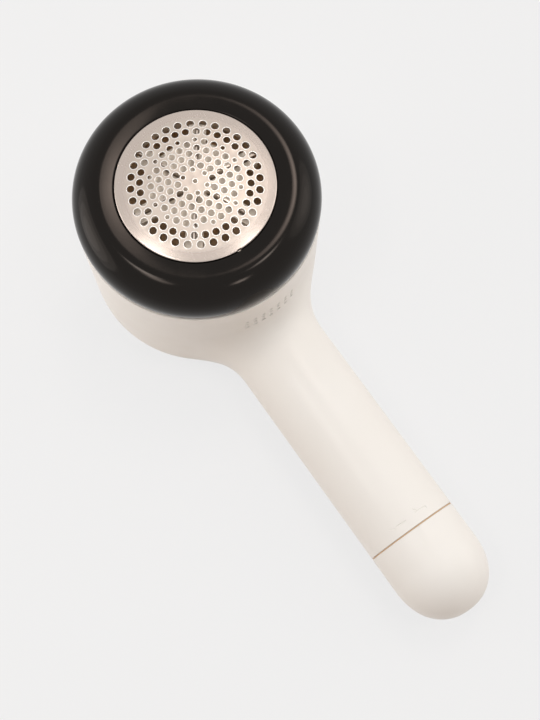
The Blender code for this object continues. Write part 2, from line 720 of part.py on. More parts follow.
def battery_tube(look):
    """Liner that carries the batteries, with two collars that centre it in the handle."""
    profile = [(CONTACT_STEM_RADIUS + SIDE_PLAY, TUBE_START), (TUBE_RADIUS, TUBE_START)]
    for start in COLLAR_STARTS:
        end = start + TUBE_COLLAR_LENGTH
        rim = BORE_RADIUS - GAP
        profile += [(TUBE_RADIUS, start), (rim, start), (rim, end), (TUBE_RADIUS, end)]
    inner_end = TUBE_START + TUBE_END_WALL
    profile += [(TUBE_RADIUS, TUBE_OPEN_END), (TUBE_BORE, TUBE_OPEN_END), (TUBE_BORE, inner_end)]
    profile += [(CONTACT_STEM_RADIUS + SIDE_PLAY, inner_end)]
    liner = turned("battery_tube", profile, look, segments=COARSE, place=on_x)
    half = STRIP_WIDTH / 2 + SIDE_PLAY
    notch_top = AXIS_Z - TUBE_RADIUS - GAP / 2
    cut(liner, box("collar_notch_cutter", (COLLAR_STARTS[0] - GAP, -half, 0), (SEAM_X, half, notch_top)))
    return liner


def batteries(look):
    """The round cells, each with its nipple towards the drum."""
    for i in range(CELL_COUNT):
        start = FIRST_CELL_X + i * (CELL_LENGTH + GAP)
        shoulder = start + NIPPLE_LENGTH
        edge = NIPPLE_LENGTH / 2
        profile = [(0, start), (NIPPLE_RADIUS, start), (NIPPLE_RADIUS, shoulder)]
        profile += [(CELL_RADIUS - edge, shoulder), (CELL_RADIUS, shoulder + edge)]
        profile += [(CELL_RADIUS, start + CELL_LENGTH), (0, start + CELL_LENGTH)]
        turned(f"battery_{i + 1}", profile, look, segments=COARSE, place=on_x)


def contacts(brass, steel, cap_pivot, switch_pivot):
    """Metal parts of the circuit, apart from the motor and its wires."""
    stem_start = TUBE_START - CONTACT_STEM_OVERHANG
    profile = [(0, stem_start), (CONTACT_STEM_RADIUS, stem_start), (CONTACT_STEM_RADIUS, CONTACT_X)]
    profile += [(CONTACT_RADIUS, CONTACT_X), (CONTACT_RADIUS, CONTACT_X + CONTACT_THICKNESS)]
    profile += [(0, CONTACT_X + CONTACT_THICKNESS)]
    turned("inner_contact", profile, brass, segments=COARSE, place=on_x)

    half = STRIP_WIDTH / 2
    box("switch_leaf", (LEAF_START, -half, STRIP_BOTTOM), (LEAF_END, half, STRIP_TOP), brass)
    box("return_strip", (STRIP_START, -half, STRIP_BOTTOM), (CAP_PLATE_X - GAP, half, STRIP_TOP), brass)

    plate = disc(CAP_BORE - SIDE_PLAY, CAP_PLATE_X, CAP_PLATE_X + CAP_PLATE_THICKNESS)
    turned("cap_contact", plate, steel, segments=COARSE, place=on_x, parent=cap_pivot)
    wire_radius = BATTERY_SPRING_WIRE / 2
    first = LAST_CELL_END + GAP + wire_radius
    last = CAP_PLATE_X - GAP - wire_radius
    points = coil(BATTERY_SPRING_TURNS, first, last, BATTERY_SPRING_SMALL, BATTERY_SPRING_LARGE, on_x)
    wire("battery_spring", points, wire_radius, steel, cap_pivot)
    switch_bridge(brass, switch_pivot)


def switch_bridge(look, parent):
    """Small bent contact on the knob, which bridges the leaf and the strip when switched on."""
    bottom = POCKET_FLOOR + GAP + FLANGE_THICKNESS + GAP
    top = STRIP_BOTTOM - GAP
    start = SWITCH_X + FLANGE_MARGIN - SIDE_PLAY
    end = start + BRIDGE_LENGTH
    middle = (start + end) / 2
    foot = STRIP_THICKNESS
    outline = [(start, top), (start + foot, top), (start + 3 * foot, bottom + foot)]
    outline += [(middle, bottom + foot), (end - 3 * foot, bottom + foot), (end - foot, top), (end, top)]
    outline += [(end, top - foot), (end - 2 * foot, bottom), (start + 2 * foot, bottom), (start, top - foot)]
    bm = bmesh.new()
    sides = []
    for y in (-BRIDGE_WIDTH / 2, BRIDGE_WIDTH / 2):
        sides.append([bm.verts.new((x, y, z)) for x, z in outline])
    bm.faces.new(sides[0])
    bm.faces.new(list(reversed(sides[1])))
    for k in range(len(outline)):
        following = (k + 1) % len(outline)
        bm.faces.new((sides[0][k], sides[1][k], sides[1][following], sides[0][following]))
    add_object("switch_contact", bm, look, parent)


def switch_knob(look, parent):
    """Thumb slide, sunk in the handle's underside, with grip grooves across it."""
    half = KNOB_WIDTH / 2
    flange_low = POCKET_FLOOR + GAP
    knob = box("switch_knob", (SWITCH_X, -half, KNOB_FACE),
               (SWITCH_X + KNOB_LENGTH, half, flange_low + FLANGE_THICKNESS / 2), look, parent)
    wide = half + FLANGE_SIDE_MARGIN
    join(knob, box("knob_flange_guide", (SWITCH_X - FLANGE_MARGIN, -wide, flange_low),
                   (SWITCH_X + KNOB_LENGTH + FLANGE_MARGIN, wide, flange_low + FLANGE_THICKNESS)))
    bm = bmesh.new()
    pitch = KNOB_LENGTH / (KNOB_GROOVES + 1)
    for i in range(KNOB_GROOVES):
        x = SWITCH_X + pitch * (i + 1)
        low = (x - pitch / 5, -KNOB_WIDTH, KNOB_FACE - pitch)
        high = (x + pitch / 5, KNOB_WIDTH, KNOB_FACE + KNOB_GROOVE_DEPTH)
        add_box(bm, low, high)
    cut(knob, add_object("knob_groove_cutter", bm))
    return knob


def cap_radius(x):
    """Outer radius of the end cap at a place along the handle."""
    share = (x - SEAM_X - CAP_STRAIGHT) / CAP_ROUND_LENGTH
    if share <= 0:
        return HANDLE_RADIUS
    return HANDLE_RADIUS * (1 - min(share, 1) ** CAP_ROUND_POWER) ** (1 / CAP_ROUND_POWER)


def end_cap(look, seal_look, parent):
    """Twist-off cap with a spigot, lugs, a seal groove and a hollow behind the contact plate."""
    seat = CAP_PLATE_X + CAP_PLATE_THICKNESS + GAP
    groove_start = SEAM_X - SEAL_FROM_SEAM
    groove_end = groove_start + SEAL_GROOVE_WIDTH
    groove = SPIGOT_RADIUS - SEAL_GROOVE_DEPTH
    profile = [(CAP_BORE, SPIGOT_START), (SPIGOT_RADIUS, SPIGOT_START), (SPIGOT_RADIUS, groove_start)]
    profile += [(groove, groove_start), (groove, groove_end), (SPIGOT_RADIUS, groove_end)]
    profile += [(SPIGOT_RADIUS, CAP_START), (HANDLE_RADIUS, CAP_START)]
    steps = 9
    for i in range(steps):
        share = math.sin(math.pi / 2 * i / steps)
        x = SEAM_X + CAP_STRAIGHT + CAP_ROUND_LENGTH * share
        profile.append((cap_radius(x), x))
    hollow_end = CAP_END - CAP_END_WALL
    profile += [(0, CAP_END), (0, hollow_end), (CAP_HOLLOW_RADIUS / 2, hollow_end)]
    profile += [(CAP_HOLLOW_RADIUS, hollow_end - CAP_END_WALL), (CAP_HOLLOW_RADIUS, seat), (CAP_BORE, seat)]
    cap = turned("end_cap", profile, look, segments=MEDIUM, place=on_x, parent=parent)
    bm = bmesh.new()
    lug_start = SPIGOT_START + 2 * SIDE_PLAY
    for angle in cap_lug_angles():
        add_sector(bm, SPIGOT_RADIUS - LUG_DEPTH / 2, BORE_RADIUS + LUG_DEPTH - GAP, lug_start,
                   lug_start + CAP_LUG_LENGTH, angle - LUG_HALF_DEG, angle + LUG_HALF_DEG, place=on_x, steps=3)
    join(cap, add_object("cap_lug_guide", bm))

    inner = groove + GAP
    outer = SPIGOT_RADIUS
    middle = (groove_start + groove_end) / 2
    round_radius = (outer - inner) / 2
    section = arc((inner + outer) / 2, middle, round_radius, 0, 300, 5)
    turned("cap_seal", section, seal_look, segments=COARSE, place=on_x, parent=parent)


def motor(can_look, bell_look, brass):
    """Can motor with its end bell and two terminals."""
    bore = SHAFT_RADIUS + GAP
    boss_top = MOTOR_TOP + MOTOR_BOSS_HEIGHT
    profile = [(0, MOTOR_BOTTOM), (MOTOR_RADIUS - MOTOR_EDGE / 2, MOTOR_BOTTOM)]
    profile += [(MOTOR_RADIUS, MOTOR_BOTTOM + MOTOR_EDGE / 2)]
    profile += arc(MOTOR_RADIUS - MOTOR_EDGE, MOTOR_TOP - MOTOR_EDGE, MOTOR_EDGE, 0, 90, 3)
    profile += [(MOTOR_BOSS_RADIUS, MOTOR_TOP), (MOTOR_BOSS_RADIUS, boss_top), (bore, boss_top)]
    profile += [(bore, boss_top - MOTOR_BORE_DEPTH), (0, boss_top - MOTOR_BORE_DEPTH)]
    can = turned("motor_can", profile, can_look, segments=MEDIUM)
    depth = MOTOR_SCREW_LENGTH + GAP
    cut(can, rods("motor_hole_cutter", motor_screw_spots(), MOTOR_SCREW_RADIUS + GAP,
                  MOTOR_TOP - depth, MOTOR_TOP + GAP))
    bell = disc(MOTOR_RADIUS - BELL_INSET, BELL_BOTTOM, MOTOR_BOTTOM - GAP)
    turned("motor_end_bell", bell, bell_look, segments=MEDIUM)
    for i, side in enumerate((-1, 1)):
        x = side * TERMINAL_SPACING / 2
        top = BELL_BOTTOM - GAP
        low = (x - TERMINAL_SIZE[0] / 2, -TERMINAL_SIZE[1] / 2, top - TERMINAL_SIZE[2])
        box(f"motor_terminal_{i + 1}", low, (x + TERMINAL_SIZE[0] / 2, TERMINAL_SIZE[1] / 2, top), brass)


def motor_mount(look, screw_look, seal_look):
    """Plate that closes the motor room, with its screws, the motor's screws and the shaft seal."""
    floor = MOTOR_TOP + MOTOR_BOSS_HEIGHT + GAP
    hole = MOTOR_BOSS_RADIUS + GAP
    recess = SEAL_RADIUS + GAP
    outer = CHAMBER_RADIUS - GAP
    profile = [(hole, MOUNT_BOTTOM), (outer, MOUNT_BOTTOM), (outer, MOUNT_TOP), (recess, MOUNT_TOP)]
    profile += [(recess, floor), (hole, floor)]
    plate = turned("motor_mount", profile, look, segments=MEDIUM)
    head_top = MOUNT_TOP - GAP / 2
    head_bottom = head_top - SCREW_HEAD_HEIGHT
    groups = (("mount", mount_screw_spots(), MOUNT_SCREW_RADIUS, MOUNT_SCREW_LENGTH),
              ("motor", motor_screw_spots(), MOTOR_SCREW_RADIUS, MOTOR_SCREW_LENGTH))
    for label, spots, radius, length in groups:
        cut(plate, rods(label + "_hole_cutter_b", spots, radius + GAP, MOUNT_BOTTOM - GAP, MOUNT_TOP + GAP))
        cut(plate, rods(label + "_recess_cutter", spots, SCREW_HEAD_RADIUS + GAP,
                        head_bottom - GAP, MOUNT_TOP + GAP))
        screw = [(0, head_bottom - length), (radius, head_bottom - length), (radius, head_bottom)]
        screw += [(SCREW_HEAD_RADIUS, head_bottom), (SCREW_HEAD_RADIUS, head_top), (0, head_top)]
        for i, (x, y) in enumerate(spots):
            turned(f"{label}_screw_{i + 1}", screw, screw_look, segments=SMALL, offset=(x, y, 0))
    seal = tube(SHAFT_RADIUS + GAP, SEAL_RADIUS, floor + GAP, floor + GAP + SEAL_THICKNESS)
    turned("shaft_seal", seal, seal_look, segments=COARSE)


def lint_cup(look):
    """Round tray that catches the lint, with a sleeve round the drive."""
    outer = CHAMBER_RADIUS - GAP
    floor_top = CUP_BOTTOM + CUP_FLOOR
    sleeve_top = floor_top + CUP_SLEEVE_HEIGHT
    sleeve = CUP_SLEEVE_BORE + CUP_SLEEVE_WALL
    profile = [(CUP_SLEEVE_BORE, CUP_BOTTOM), (outer, CUP_BOTTOM), (outer, CUP_RIM)]
    profile += [(outer - CUP_WALL, CUP_RIM), (outer - CUP_WALL, floor_top)]
    profile += [(sleeve, floor_top), (sleeve, sleeve_top), (CUP_SLEEVE_BORE, sleeve_top)]
    turned("lint_cup", profile, look, segments=MEDIUM)


def lattice_spots():
    """Holes of the six-sided pattern, as (x, y)."""
    along = Vector((math.cos(math.radians(LATTICE_DEG)), math.sin(math.radians(LATTICE_DEG))))
    slant = Vector((math.cos(math.radians(LATTICE_DEG + 60)), math.sin(math.radians(LATTICE_DEG + 60))))
    reach = math.ceil(LATTICE_OUTER) + 1
    spots = []
    for i in range(-reach, reach + 1):
        for j in range(-reach, reach + 1):
            spot = (along * i + slant * j) * LATTICE_PITCH
            if LATTICE_INNER * LATTICE_PITCH < spot.length < LATTICE_OUTER * LATTICE_PITCH:
                spots.append(tuple(spot))
    return spots


def polar(radius, degrees):
    angle = math.radians(degrees)
    return (radius * math.cos(angle), radius * math.sin(angle))


def foil_holes():
    """Every hole of the foil, as (x, y, radius, sides)."""
    step = 360.0 / RIM_HOLES
    holes = []
    for i in range(RIM_HOLES):
        holes.append((*polar(RIM_CIRCLE_RADIUS, RIM_PHASE_DEG + step * i), RIM_HOLE_DIAMETER / 2, HOLE_SIDES))
        middle = RIM_PHASE_DEG + step * (i + 0.5)
        holes.append((*polar(SECOND_CIRCLE_RADIUS, middle), SECOND_HOLE_DIAMETER / 2, HOLE_SIDES))
    for x, y in lattice_spots():
        holes.append((x, y, LATTICE_HOLE_DIAMETER / 2, HOLE_SIDES))
    inner_dots = INNER_DOT_PITCHES * LATTICE_PITCH
    outer_dots = OUTER_DOT_PITCHES * LATTICE_PITCH
    for i in range(6):
        spoke = LATTICE_DEG + 60.0 * i
        holes.append((*polar(inner_dots, spoke), DOT_DIAMETER / 2, DOT_SIDES))
        for side in (-1, 1):
            spread = spoke + side * OUTER_DOT_SPREAD_DEG
            holes.append((*polar(outer_dots, spread), DOT_DIAMETER / 2, DOT_SIDES))
    holes.append((0.0, 0.0, DOT_DIAMETER / 2, DOT_SIDES))
    return holes


def foil(look, parent):
    """Perforated dome with a skirt and a flange, built from a flat triangulated pattern."""
    points = []
    edges = []
    for x, y, radius, sides in foil_holes():
        first = len(points)
        for k in range(sides):
            dx, dy = polar(radius, 360.0 * k / sides)
            points.append(Vector((x + dx, y + dy)))
            edges.append((first + k, first + (k + 1) % sides))
    rim_first = len(points)
    for k in range(FINE):
        points.append(Vector(polar(FOIL_RADIUS, 360.0 * k / FINE)))
        edges.append((rim_first + k, rim_first + (k + 1) % FINE))
    blank = (FOIL_RADIUS + RIM_CIRCLE_RADIUS + RIM_HOLE_DIAMETER / 2) / 2
    for k in range(MEDIUM):
        points.append(Vector(polar(blank, 360.0 * k / MEDIUM)))
    flat, _, triangles, _, _, _ = delaunay_2d_cdt(points, edges, [], 0, 1e-7)

    kept = []
    for triangle in triangles:
        middle = sum((flat[i] for i in triangle), Vector((0, 0))) / 3
        solid = middle.length < FOIL_RADIUS
        for x, y, radius, sides in foil_holes():
            if (middle - Vector((x, y))).length < radius * math.cos(math.pi / sides):
                solid = False
        if solid:
            kept.append(triangle)

    bm = bmesh.new()
    top = []
    bottom = []
    inner = FOIL_RADIUS - FOIL_THICKNESS
    for point in flat:
        top.append(bm.verts.new((point.x, point.y, dome_height(point.length))))
        under = point * (inner / FOIL_RADIUS) if point.length > FOIL_RADIUS - MM / 10 else point
        bottom.append(bm.verts.new((under.x, under.y, dome_height(point.length) - FOIL_THICKNESS)))
    for a, b, c in kept:
        bm.faces.new((top[a], top[b], top[c]))
        bm.faces.new((bottom[c], bottom[b], bottom[a]))
    edge_use = {}
    for triangle in kept:
        for k in range(3):
            pair = (triangle[k], triangle[(k + 1) % 3])
            edge_use[pair] = True
    rim = {}
    for a, b in edge_use:
        if (b, a) in edge_use:
            continue
        if flat[a].length > FOIL_RADIUS - MM / 10:
            rim[a] = b
        else:
            bm.faces.new((top[a], bottom[a], bottom[b], top[b]))

    flange = FOIL_RADIUS + FOIL_FLANGE_WIDTH
    low = FOIL_SKIRT_BOTTOM
    section = [(FOIL_RADIUS, low + FOIL_THICKNESS), (flange, low + FOIL_THICKNESS), (flange, low), (inner, low)]
    order = [next(iter(rim))]
    while rim[order[-1]] != order[0]:
        order.append(rim[order[-1]])
    loops = [[top[i] for i in order]]
    for radius, height in section:
        loop = []
        for i in order:
            direction = flat[i].normalized()
            loop.append(bm.verts.new((direction.x * radius, direction.y * radius, height)))
        loops.append(loop)
    loops.append([bottom[i] for i in order])
    for before, after in zip(loops, loops[1:]):
        for k in range(len(order)):
            following = (k + 1) % len(order)
            bm.faces.new((before[k], before[following], after[following], after[k]))
    loose = [v for v in bm.verts if not v.link_faces]
    bmesh.ops.delete(bm, geom=loose, context="VERTS")
    return add_object("foil", bm, look, parent, smooth_deg=30.0)


def foil_frame(look, parent):
    """Carrier under the foil's flange, which stands on the lint cup's rim."""
    rim = FRAME_INNER_RADIUS + FRAME_RIM_WALL
    rim_top = dome_height(rim) - FOIL_THICKNESS - FRAME_RIM_GAP
    plate_bottom = FRAME_TOP - FRAME_THICKNESS
    skirt = FRAME_RADIUS - FRAME_SKIRT_WALL
    profile = [(FRAME_INNER_RADIUS, plate_bottom), (skirt, plate_bottom), (skirt, FRAME_BOTTOM)]
    profile += [(FRAME_RADIUS, FRAME_BOTTOM), (FRAME_RADIUS, FRAME_TOP), (rim, FRAME_TOP)]
    profile += [(rim, rim_top), (FRAME_INNER_RADIUS, rim_top)]
    turned("foil_frame", profile, look, segments=MEDIUM, parent=parent)


def head_ring(look, parent):
    """Glossy black ring that holds the foil down, with lugs for its twist lock."""
    round_centre = DRUM_RADIUS - RING_ROUND
    crest = RING_CREST_RADIUS - round_centre
    crest_deg = math.degrees(math.acos(crest / RING_ROUND))
    bottom_deg = math.degrees(math.asin((RING_BOTTOM - RING_ROUND_HEIGHT) / RING_ROUND))
    crest_height = RING_ROUND_HEIGHT + RING_ROUND * math.sin(math.radians(crest_deg))
    lip = crest_height - RING_LIP_DROP
    profile = arc(round_centre, RING_ROUND_HEIGHT, RING_ROUND, bottom_deg, crest_deg, 8)
    rib_bottom = FOIL_SKIRT_BOTTOM + FOIL_THICKNESS + GAP
    rib = RING_OPENING_RADIUS + RING_RIB_WIDTH
    profile += [(RING_OPENING_RADIUS, lip), (RING_OPENING_RADIUS, rib_bottom), (rib, rib_bottom)]
    skirt = DRUM_RADIUS - RING_SKIRT_WALL
    inner = math.hypot(FRAME_RADIUS - round_centre, FRAME_TOP - RING_ROUND_HEIGHT) + GAP
    profile += arc(round_centre, RING_ROUND_HEIGHT, inner, 82, 20, 3)
    profile += [(skirt, RING_ROUND_HEIGHT), (skirt, RING_BOTTOM)]
    ring = turned("head_ring", profile, look, parent=parent)
    bm = bmesh.new()
    lug_bottom = RING_BOTTOM + GAP
    for angle in ring_lug_angles():
        add_sector(bm, CHAMBER_RADIUS + GAP, skirt + DRUM_WALL / 3, lug_bottom, lug_bottom + RING_LUG_HEIGHT,
                   angle - LUG_HALF_DEG, angle + LUG_HALF_DEG, steps=3)
    join(ring, add_object("ring_lug_guide", bm))


def drive(shaft_look, hub_look, spring_look, parent):
    """Shaft, six-sided driver and the spring that lifts the blades."""
    shaft_bottom = MOTOR_TOP + MOTOR_BOSS_HEIGHT - MOTOR_BORE_DEPTH + GAP
    turned("motor_shaft", disc(SHAFT_RADIUS, shaft_bottom, SHAFT_TOP), shaft_look, segments=SMALL, parent=parent)
    flange_top = HUB_BASE + HUB_FLANGE_THICKNESS
    hub = turned("drive_hub", disc(HUB_FLANGE_RADIUS, HUB_BASE, flange_top), hub_look,
                 segments=COARSE, parent=parent)
    join(hub, turned_tool("hub_hex_guide", disc(HUB_HEX_RADIUS, flange_top - GAP, HUB_TOP), 6))
    cut(hub, turned_tool("hub_bore_cutter", disc(SHAFT_RADIUS + GAP, HUB_BASE - GAP, SHAFT_TOP + GAP), SMALL))
    wire_radius = BLADE_SPRING_WIRE / 2
    radius = HUB_HEX_RADIUS + SIDE_PLAY + wire_radius
    points = coil(BLADE_SPRING_TURNS, flange_top + GAP + wire_radius,
                  HOLDER_SLEEVE_BOTTOM - GAP - wire_radius, radius, radius, on_z)
    wire("blade_spring", points, wire_radius, spring_look, parent)


def blade_angles():
    return [BLADE_PHASE_DEG + 360.0 * i / BLADES for i in range(BLADES)]


def holder_outline():
    """Outline of the blade holder: a disc with one arm under each blade."""
    root_deg = math.degrees(math.asin(ARM_HALF_WIDTH / HOLDER_RADIUS))
    tip_deg = math.degrees(math.asin(ARM_HALF_WIDTH / ARM_RADIUS))
    gap_deg = 360.0 / BLADES - 2 * root_deg
    outline = []
    for angle in blade_angles():
        outline += [polar(HOLDER_RADIUS, angle - root_deg), polar(ARM_RADIUS, angle - tip_deg)]
        outline += [polar(ARM_RADIUS, angle), polar(ARM_RADIUS, angle + tip_deg)]
        outline += [polar(HOLDER_RADIUS, angle + root_deg)]
        for i in range(1, 4):
            outline.append(polar(HOLDER_RADIUS, angle + root_deg + gap_deg * i / 4))
    return outline


def blade_rotor(holder_look, blade_look, parent):
    """Holder with its socket over the driver, and the upright blades in its slots."""
    bm = bmesh.new()
    holder_bottom = HOLDER_TOP - HOLDER_THICKNESS
    add_prism(bm, holder_outline(), holder_bottom, HOLDER_TOP)
    holder = add_object("blade_holder", bm, holder_look, parent)
    socket = HUB_HEX_RADIUS + SIDE_PLAY
    sleeve = disc(socket + HOLDER_SLEEVE_WALL, HOLDER_SLEEVE_BOTTOM, holder_bottom + HOLDER_THICKNESS / 2)
    join(holder, turned_tool("holder_sleeve_guide", sleeve, COARSE))
    socket_top = HUB_TOP + FLOAT_TRAVEL + GAP
    cut(holder, turned_tool("socket_cutter", disc(socket, HOLDER_SLEEVE_BOTTOM - GAP, socket_top), 6))

    slot_half = BLADE_THICKNESS / 2 + GAP
    bm = bmesh.new()
    for angle in blade_angles():
        add_box(bm, (BLADE_INNER - GAP, -slot_half, BLADE_FLOOR),
                (ARM_RADIUS + GAP * 2, slot_half, HOLDER_TOP + GAP), angle)
    cut(holder, add_object("blade_slot_cutter", bm))

    steps = 5
    for i, angle in enumerate(blade_angles()):
        bm = bmesh.new()
        turn = math.radians(angle)
        along = Vector((math.cos(turn), math.sin(turn), 0))
        across = Vector((-math.sin(turn), math.cos(turn), 0)) * BLADE_THICKNESS / 2
        outline = [(BLADE_INNER, BLADE_FLOOR + GAP), (BLADE_OUTER, BLADE_FLOOR + GAP)]
        for k in range(steps + 1):
            radius = BLADE_OUTER + (BLADE_INNER - BLADE_OUTER) * k / steps
            outline.append((radius, dome_height(radius) - FOIL_THICKNESS - GAP))
        sides = []
        for side in (-1, 1):
            sides.append([bm.verts.new(along * r + across * side + Vector((0, 0, z))) for r, z in outline])
        bm.faces.new(list(reversed(sides[0])))
        bm.faces.new(sides[1])
        for k in range(len(outline)):
            following = (k + 1) % len(outline)
            bm.faces.new((sides[0][k], sides[0][following], sides[1][following], sides[1][k]))
        add_object(f"blade_{i + 1}", bm, blade_look, parent)


def wires(look_a, look_b):
    """The two insulated wires between the motor, the switch and the inner contact."""
    terminal = TERMINAL_SPACING / 2
    terminal_z = BELL_BOTTOM - GAP - TERMINAL_SIZE[2] - GAP - WIRE_RADIUS
    low_z = DRUM_WALL + WIRE_RISE
    side_y = TERMINAL_SIZE[1]
    contact_x = TUBE_START - CONTACT_STEM_OVERHANG - GAP - WIRE_RADIUS
    middle_z = (AXIS_Z + terminal_z) / 2
    route = [(contact_x, 0, AXIS_Z), (contact_x, 0, middle_z)]
    route += [((contact_x + terminal) / 2, side_y, terminal_z), (terminal, 0, terminal_z)]
    wire("contact_wire", smooth_route(route), WIRE_RADIUS, look_a)
    start = LEAF_START - GAP
    route = [(start, 0, STRIP_TOP - WIRE_RADIUS - GAP), (start - WIRE_DIP, 0, low_z), (TUBE_START, 0, low_z)]
    route += [(TUBE_START / 2, -side_y, low_z), (0, -side_y, low_z), (-terminal, 0, terminal_z)]
    wire("switch_wire", smooth_route(route), WIRE_RADIUS, look_b)


def build():
    clear_scene()
    cream = material("cream_plastic", CREAM, 0.42)
    black = material("black_gloss", BLACK, 0.12)
    steel = material("foil_steel", STEEL, 0.22, 1.0)
    brass = material("contact_brass", BRASS, 0.35, 1.0)
    spring = material("spring_steel", STEEL, 0.3, 1.0)
    brown = material("brown_plastic", BROWN, 0.4)
    grey = material("grey_plastic", PALE_GREY, 0.45)
    dark = material("dark_plastic", DARK_GREY, 0.5)
    rubber = material("seal_rubber", (0.30, 0.17, 0.10), 0.7)
    jacket = material("battery_jacket", (0.30, 0.32, 0.34), 0.35, 0.6)
    red = material("red_wire", (0.45, 0.03, 0.02), 0.5)
    wire_black = material("black_wire", (0.02, 0.02, 0.02), 0.5)
    can_look = material("motor_steel", (0.55, 0.55, 0.56), 0.3, 1.0)

    head_pivot = pivot("head_pivot", (0, 0, DRUM_TOP))
    rotor_pivot = pivot("rotor_pivot", (0, 0, HUB_BASE))
    switch_pivot = pivot("switch_pivot", (SWITCH_X, 0, KNOB_FACE))
    cap_pivot = pivot("cap_pivot", (SEAM_X, 0, AXIS_Z))

    body_shell(cream)
    battery_tube(grey)
    batteries(jacket)
    contacts(brass, spring, cap_pivot, switch_pivot)
    switch_knob(cream, switch_pivot)
    end_cap(cream, rubber, cap_pivot)
    motor(can_look, dark, brass)
    motor_mount(grey, spring, rubber)
    lint_cup(brown)
    foil(steel, head_pivot)
    foil_frame(grey, head_pivot)
    head_ring(black, head_pivot)
    drive(spring, dark, spring, rotor_pivot)
    blade_rotor(grey, steel, rotor_pivot)
    wires(red, wire_black)


build()
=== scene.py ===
"""Looks of the battery fabric shaver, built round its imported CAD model.

Shapes are written in millimetres and scaled to metres when a mesh is made. The
frame is the CAD model's: the drum's flat back lies on the floor at the origin,
+X runs along the handle and +Z points out of the foil.
"""
import math

import bmesh
import bpy
import numpy as np
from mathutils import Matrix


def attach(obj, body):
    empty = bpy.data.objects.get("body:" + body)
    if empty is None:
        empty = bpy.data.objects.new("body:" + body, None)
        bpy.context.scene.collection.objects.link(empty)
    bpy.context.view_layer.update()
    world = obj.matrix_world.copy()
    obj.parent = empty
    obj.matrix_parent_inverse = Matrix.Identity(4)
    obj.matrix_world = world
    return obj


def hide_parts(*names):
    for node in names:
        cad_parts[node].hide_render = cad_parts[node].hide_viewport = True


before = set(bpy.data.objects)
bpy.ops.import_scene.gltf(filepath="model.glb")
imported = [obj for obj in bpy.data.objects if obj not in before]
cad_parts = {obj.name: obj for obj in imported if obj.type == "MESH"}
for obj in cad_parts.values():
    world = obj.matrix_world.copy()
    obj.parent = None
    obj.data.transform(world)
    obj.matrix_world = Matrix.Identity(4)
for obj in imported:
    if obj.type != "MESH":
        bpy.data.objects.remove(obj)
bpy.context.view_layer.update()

import openvdb
from mathutils import Matrix, Vector
from mathutils.geometry import delaunay_2d_cdt

MM = 0.001
GAP = 0.3  # air between flat faces that meet
SIDE_PLAY = 0.4
SMOOTH_DEG = 35.0  # sharper corners than this keep their edge
ON_AXIS = 1e-6

# Body
DRUM_RADIUS = 34.8
DRUM_WALL = 2.2
DRUM_TOP = 50.6
BACK_ROUND = 8.4
CHAMBER_RADIUS = 30.6
COLLAR_RADIUS = 32.2
COLLAR_TOP = 54.0
LEDGE_RADIUS = 25.5
LEDGE_TOP = 41.0
LEDGE_THICKNESS = 2.0
AXIS_Z = 14.2
HANDLE_RADIUS = 14.2
BORE_RADIUS = 12.2
BORE_START = 19.0
SEAM_X = 107.8
EDGE = 0.35  # rounding of the moulded edges
SEAM_EDGE = 0.15
BLEND = 8.2  # reach of the smooth blend between drum and handle
BLEND_SIDE = 2.6  # how much further it reaches beside the neck
VOXEL = 1.0
NORMAL_STEP = 0.02  # step for the slope of the body's distance
SETTLE_ROUNDS = 4  # how often the body's points move to the true surface

# Vents above the neck
VENT_COLUMNS = 7
VENT_ROWS = 3
VENT_TURN_DEG = 1.45  # the middle column's angle from the handle
VENT_PITCH_DEG = 4.37
VENT_LOWEST = 34.25
VENT_ROW_STEP = 2.1
VENT_HALF_HEIGHT = 0.42
VENT_WIDENING = 1.6  # how much wider than high a vent is
VENT_SKIN = 0.4  # thickness of the wall that they go through
VENT_POCKET_HEIGHTS = (29.5, 38.9)
VENT_POCKET_DEGREES = (-13.5, 16.4)

# Motor mount's screws
SCREWS = 3
SCREW_CIRCLE = 27.4
BOSS_RADIUS = 2.6
PILOT_RADIUS = 1.4

# Twist locks
RING_LUGS = 3
CAP_LUGS = 2
LUG_HALF_DEG = 5
SLOT_START_DEG = -7
SLOT_END_DEG = 37  # the lug's 30 degrees, with some play

# Switch, as boxes between two corners
KNOB_START = 48.0
KNOB_BOX = ((KNOB_START, -3.6, 0.6), (57.0, 3.6, 2.85))
KNOB_FLANGE_BOX = ((46.0, -5.2, 2.5), (59.0, 5.2, 3.2))
SWITCH_WINDOW = ((47.6, -4.0, -2.2), (61.4, 4.0, 4.4))
SWITCH_POCKET = ((45.6, -5.6, 2.2), (63.4, 5.6, 8.1))
KNOB_GROOVES = 4
KNOB_GROOVE_STEP = 1.8
KNOB_GROOVE_HALF = 0.36

# Engraved arrows, as lines between two points (x, y) of the handle's top
ARROW_HALF_WIDTH = 0.16
ARROW_LINES = (((104.95, -1.9), (104.75, -5.1)), ((104.1, -7.3), (105.3, -5.5)),
               ((104.6, 1.45), (104.7, 5.2)), ((103.3, 1.5), (104.0, 1.6)))
ARROW_CORNERS = (((104.65, 5.15), (105.4, 5.3)), ((103.95, 1.55), (104.0, 2.35)))

# Ring
RING_ROUND = 9.46
RING_ROUND_HEIGHT = 54.3
RING_BOTTOM = 50.9
RING_CREST_RADIUS = 27.2
RING_OPENING_RADIUS = 22.45
RING_LIP_DROP = 0.45
RING_CREST_SHARE_DEG = 7  # where the large rounding gives way to the crest
RING_BORE = 32.6  # inside of the ring's skirt

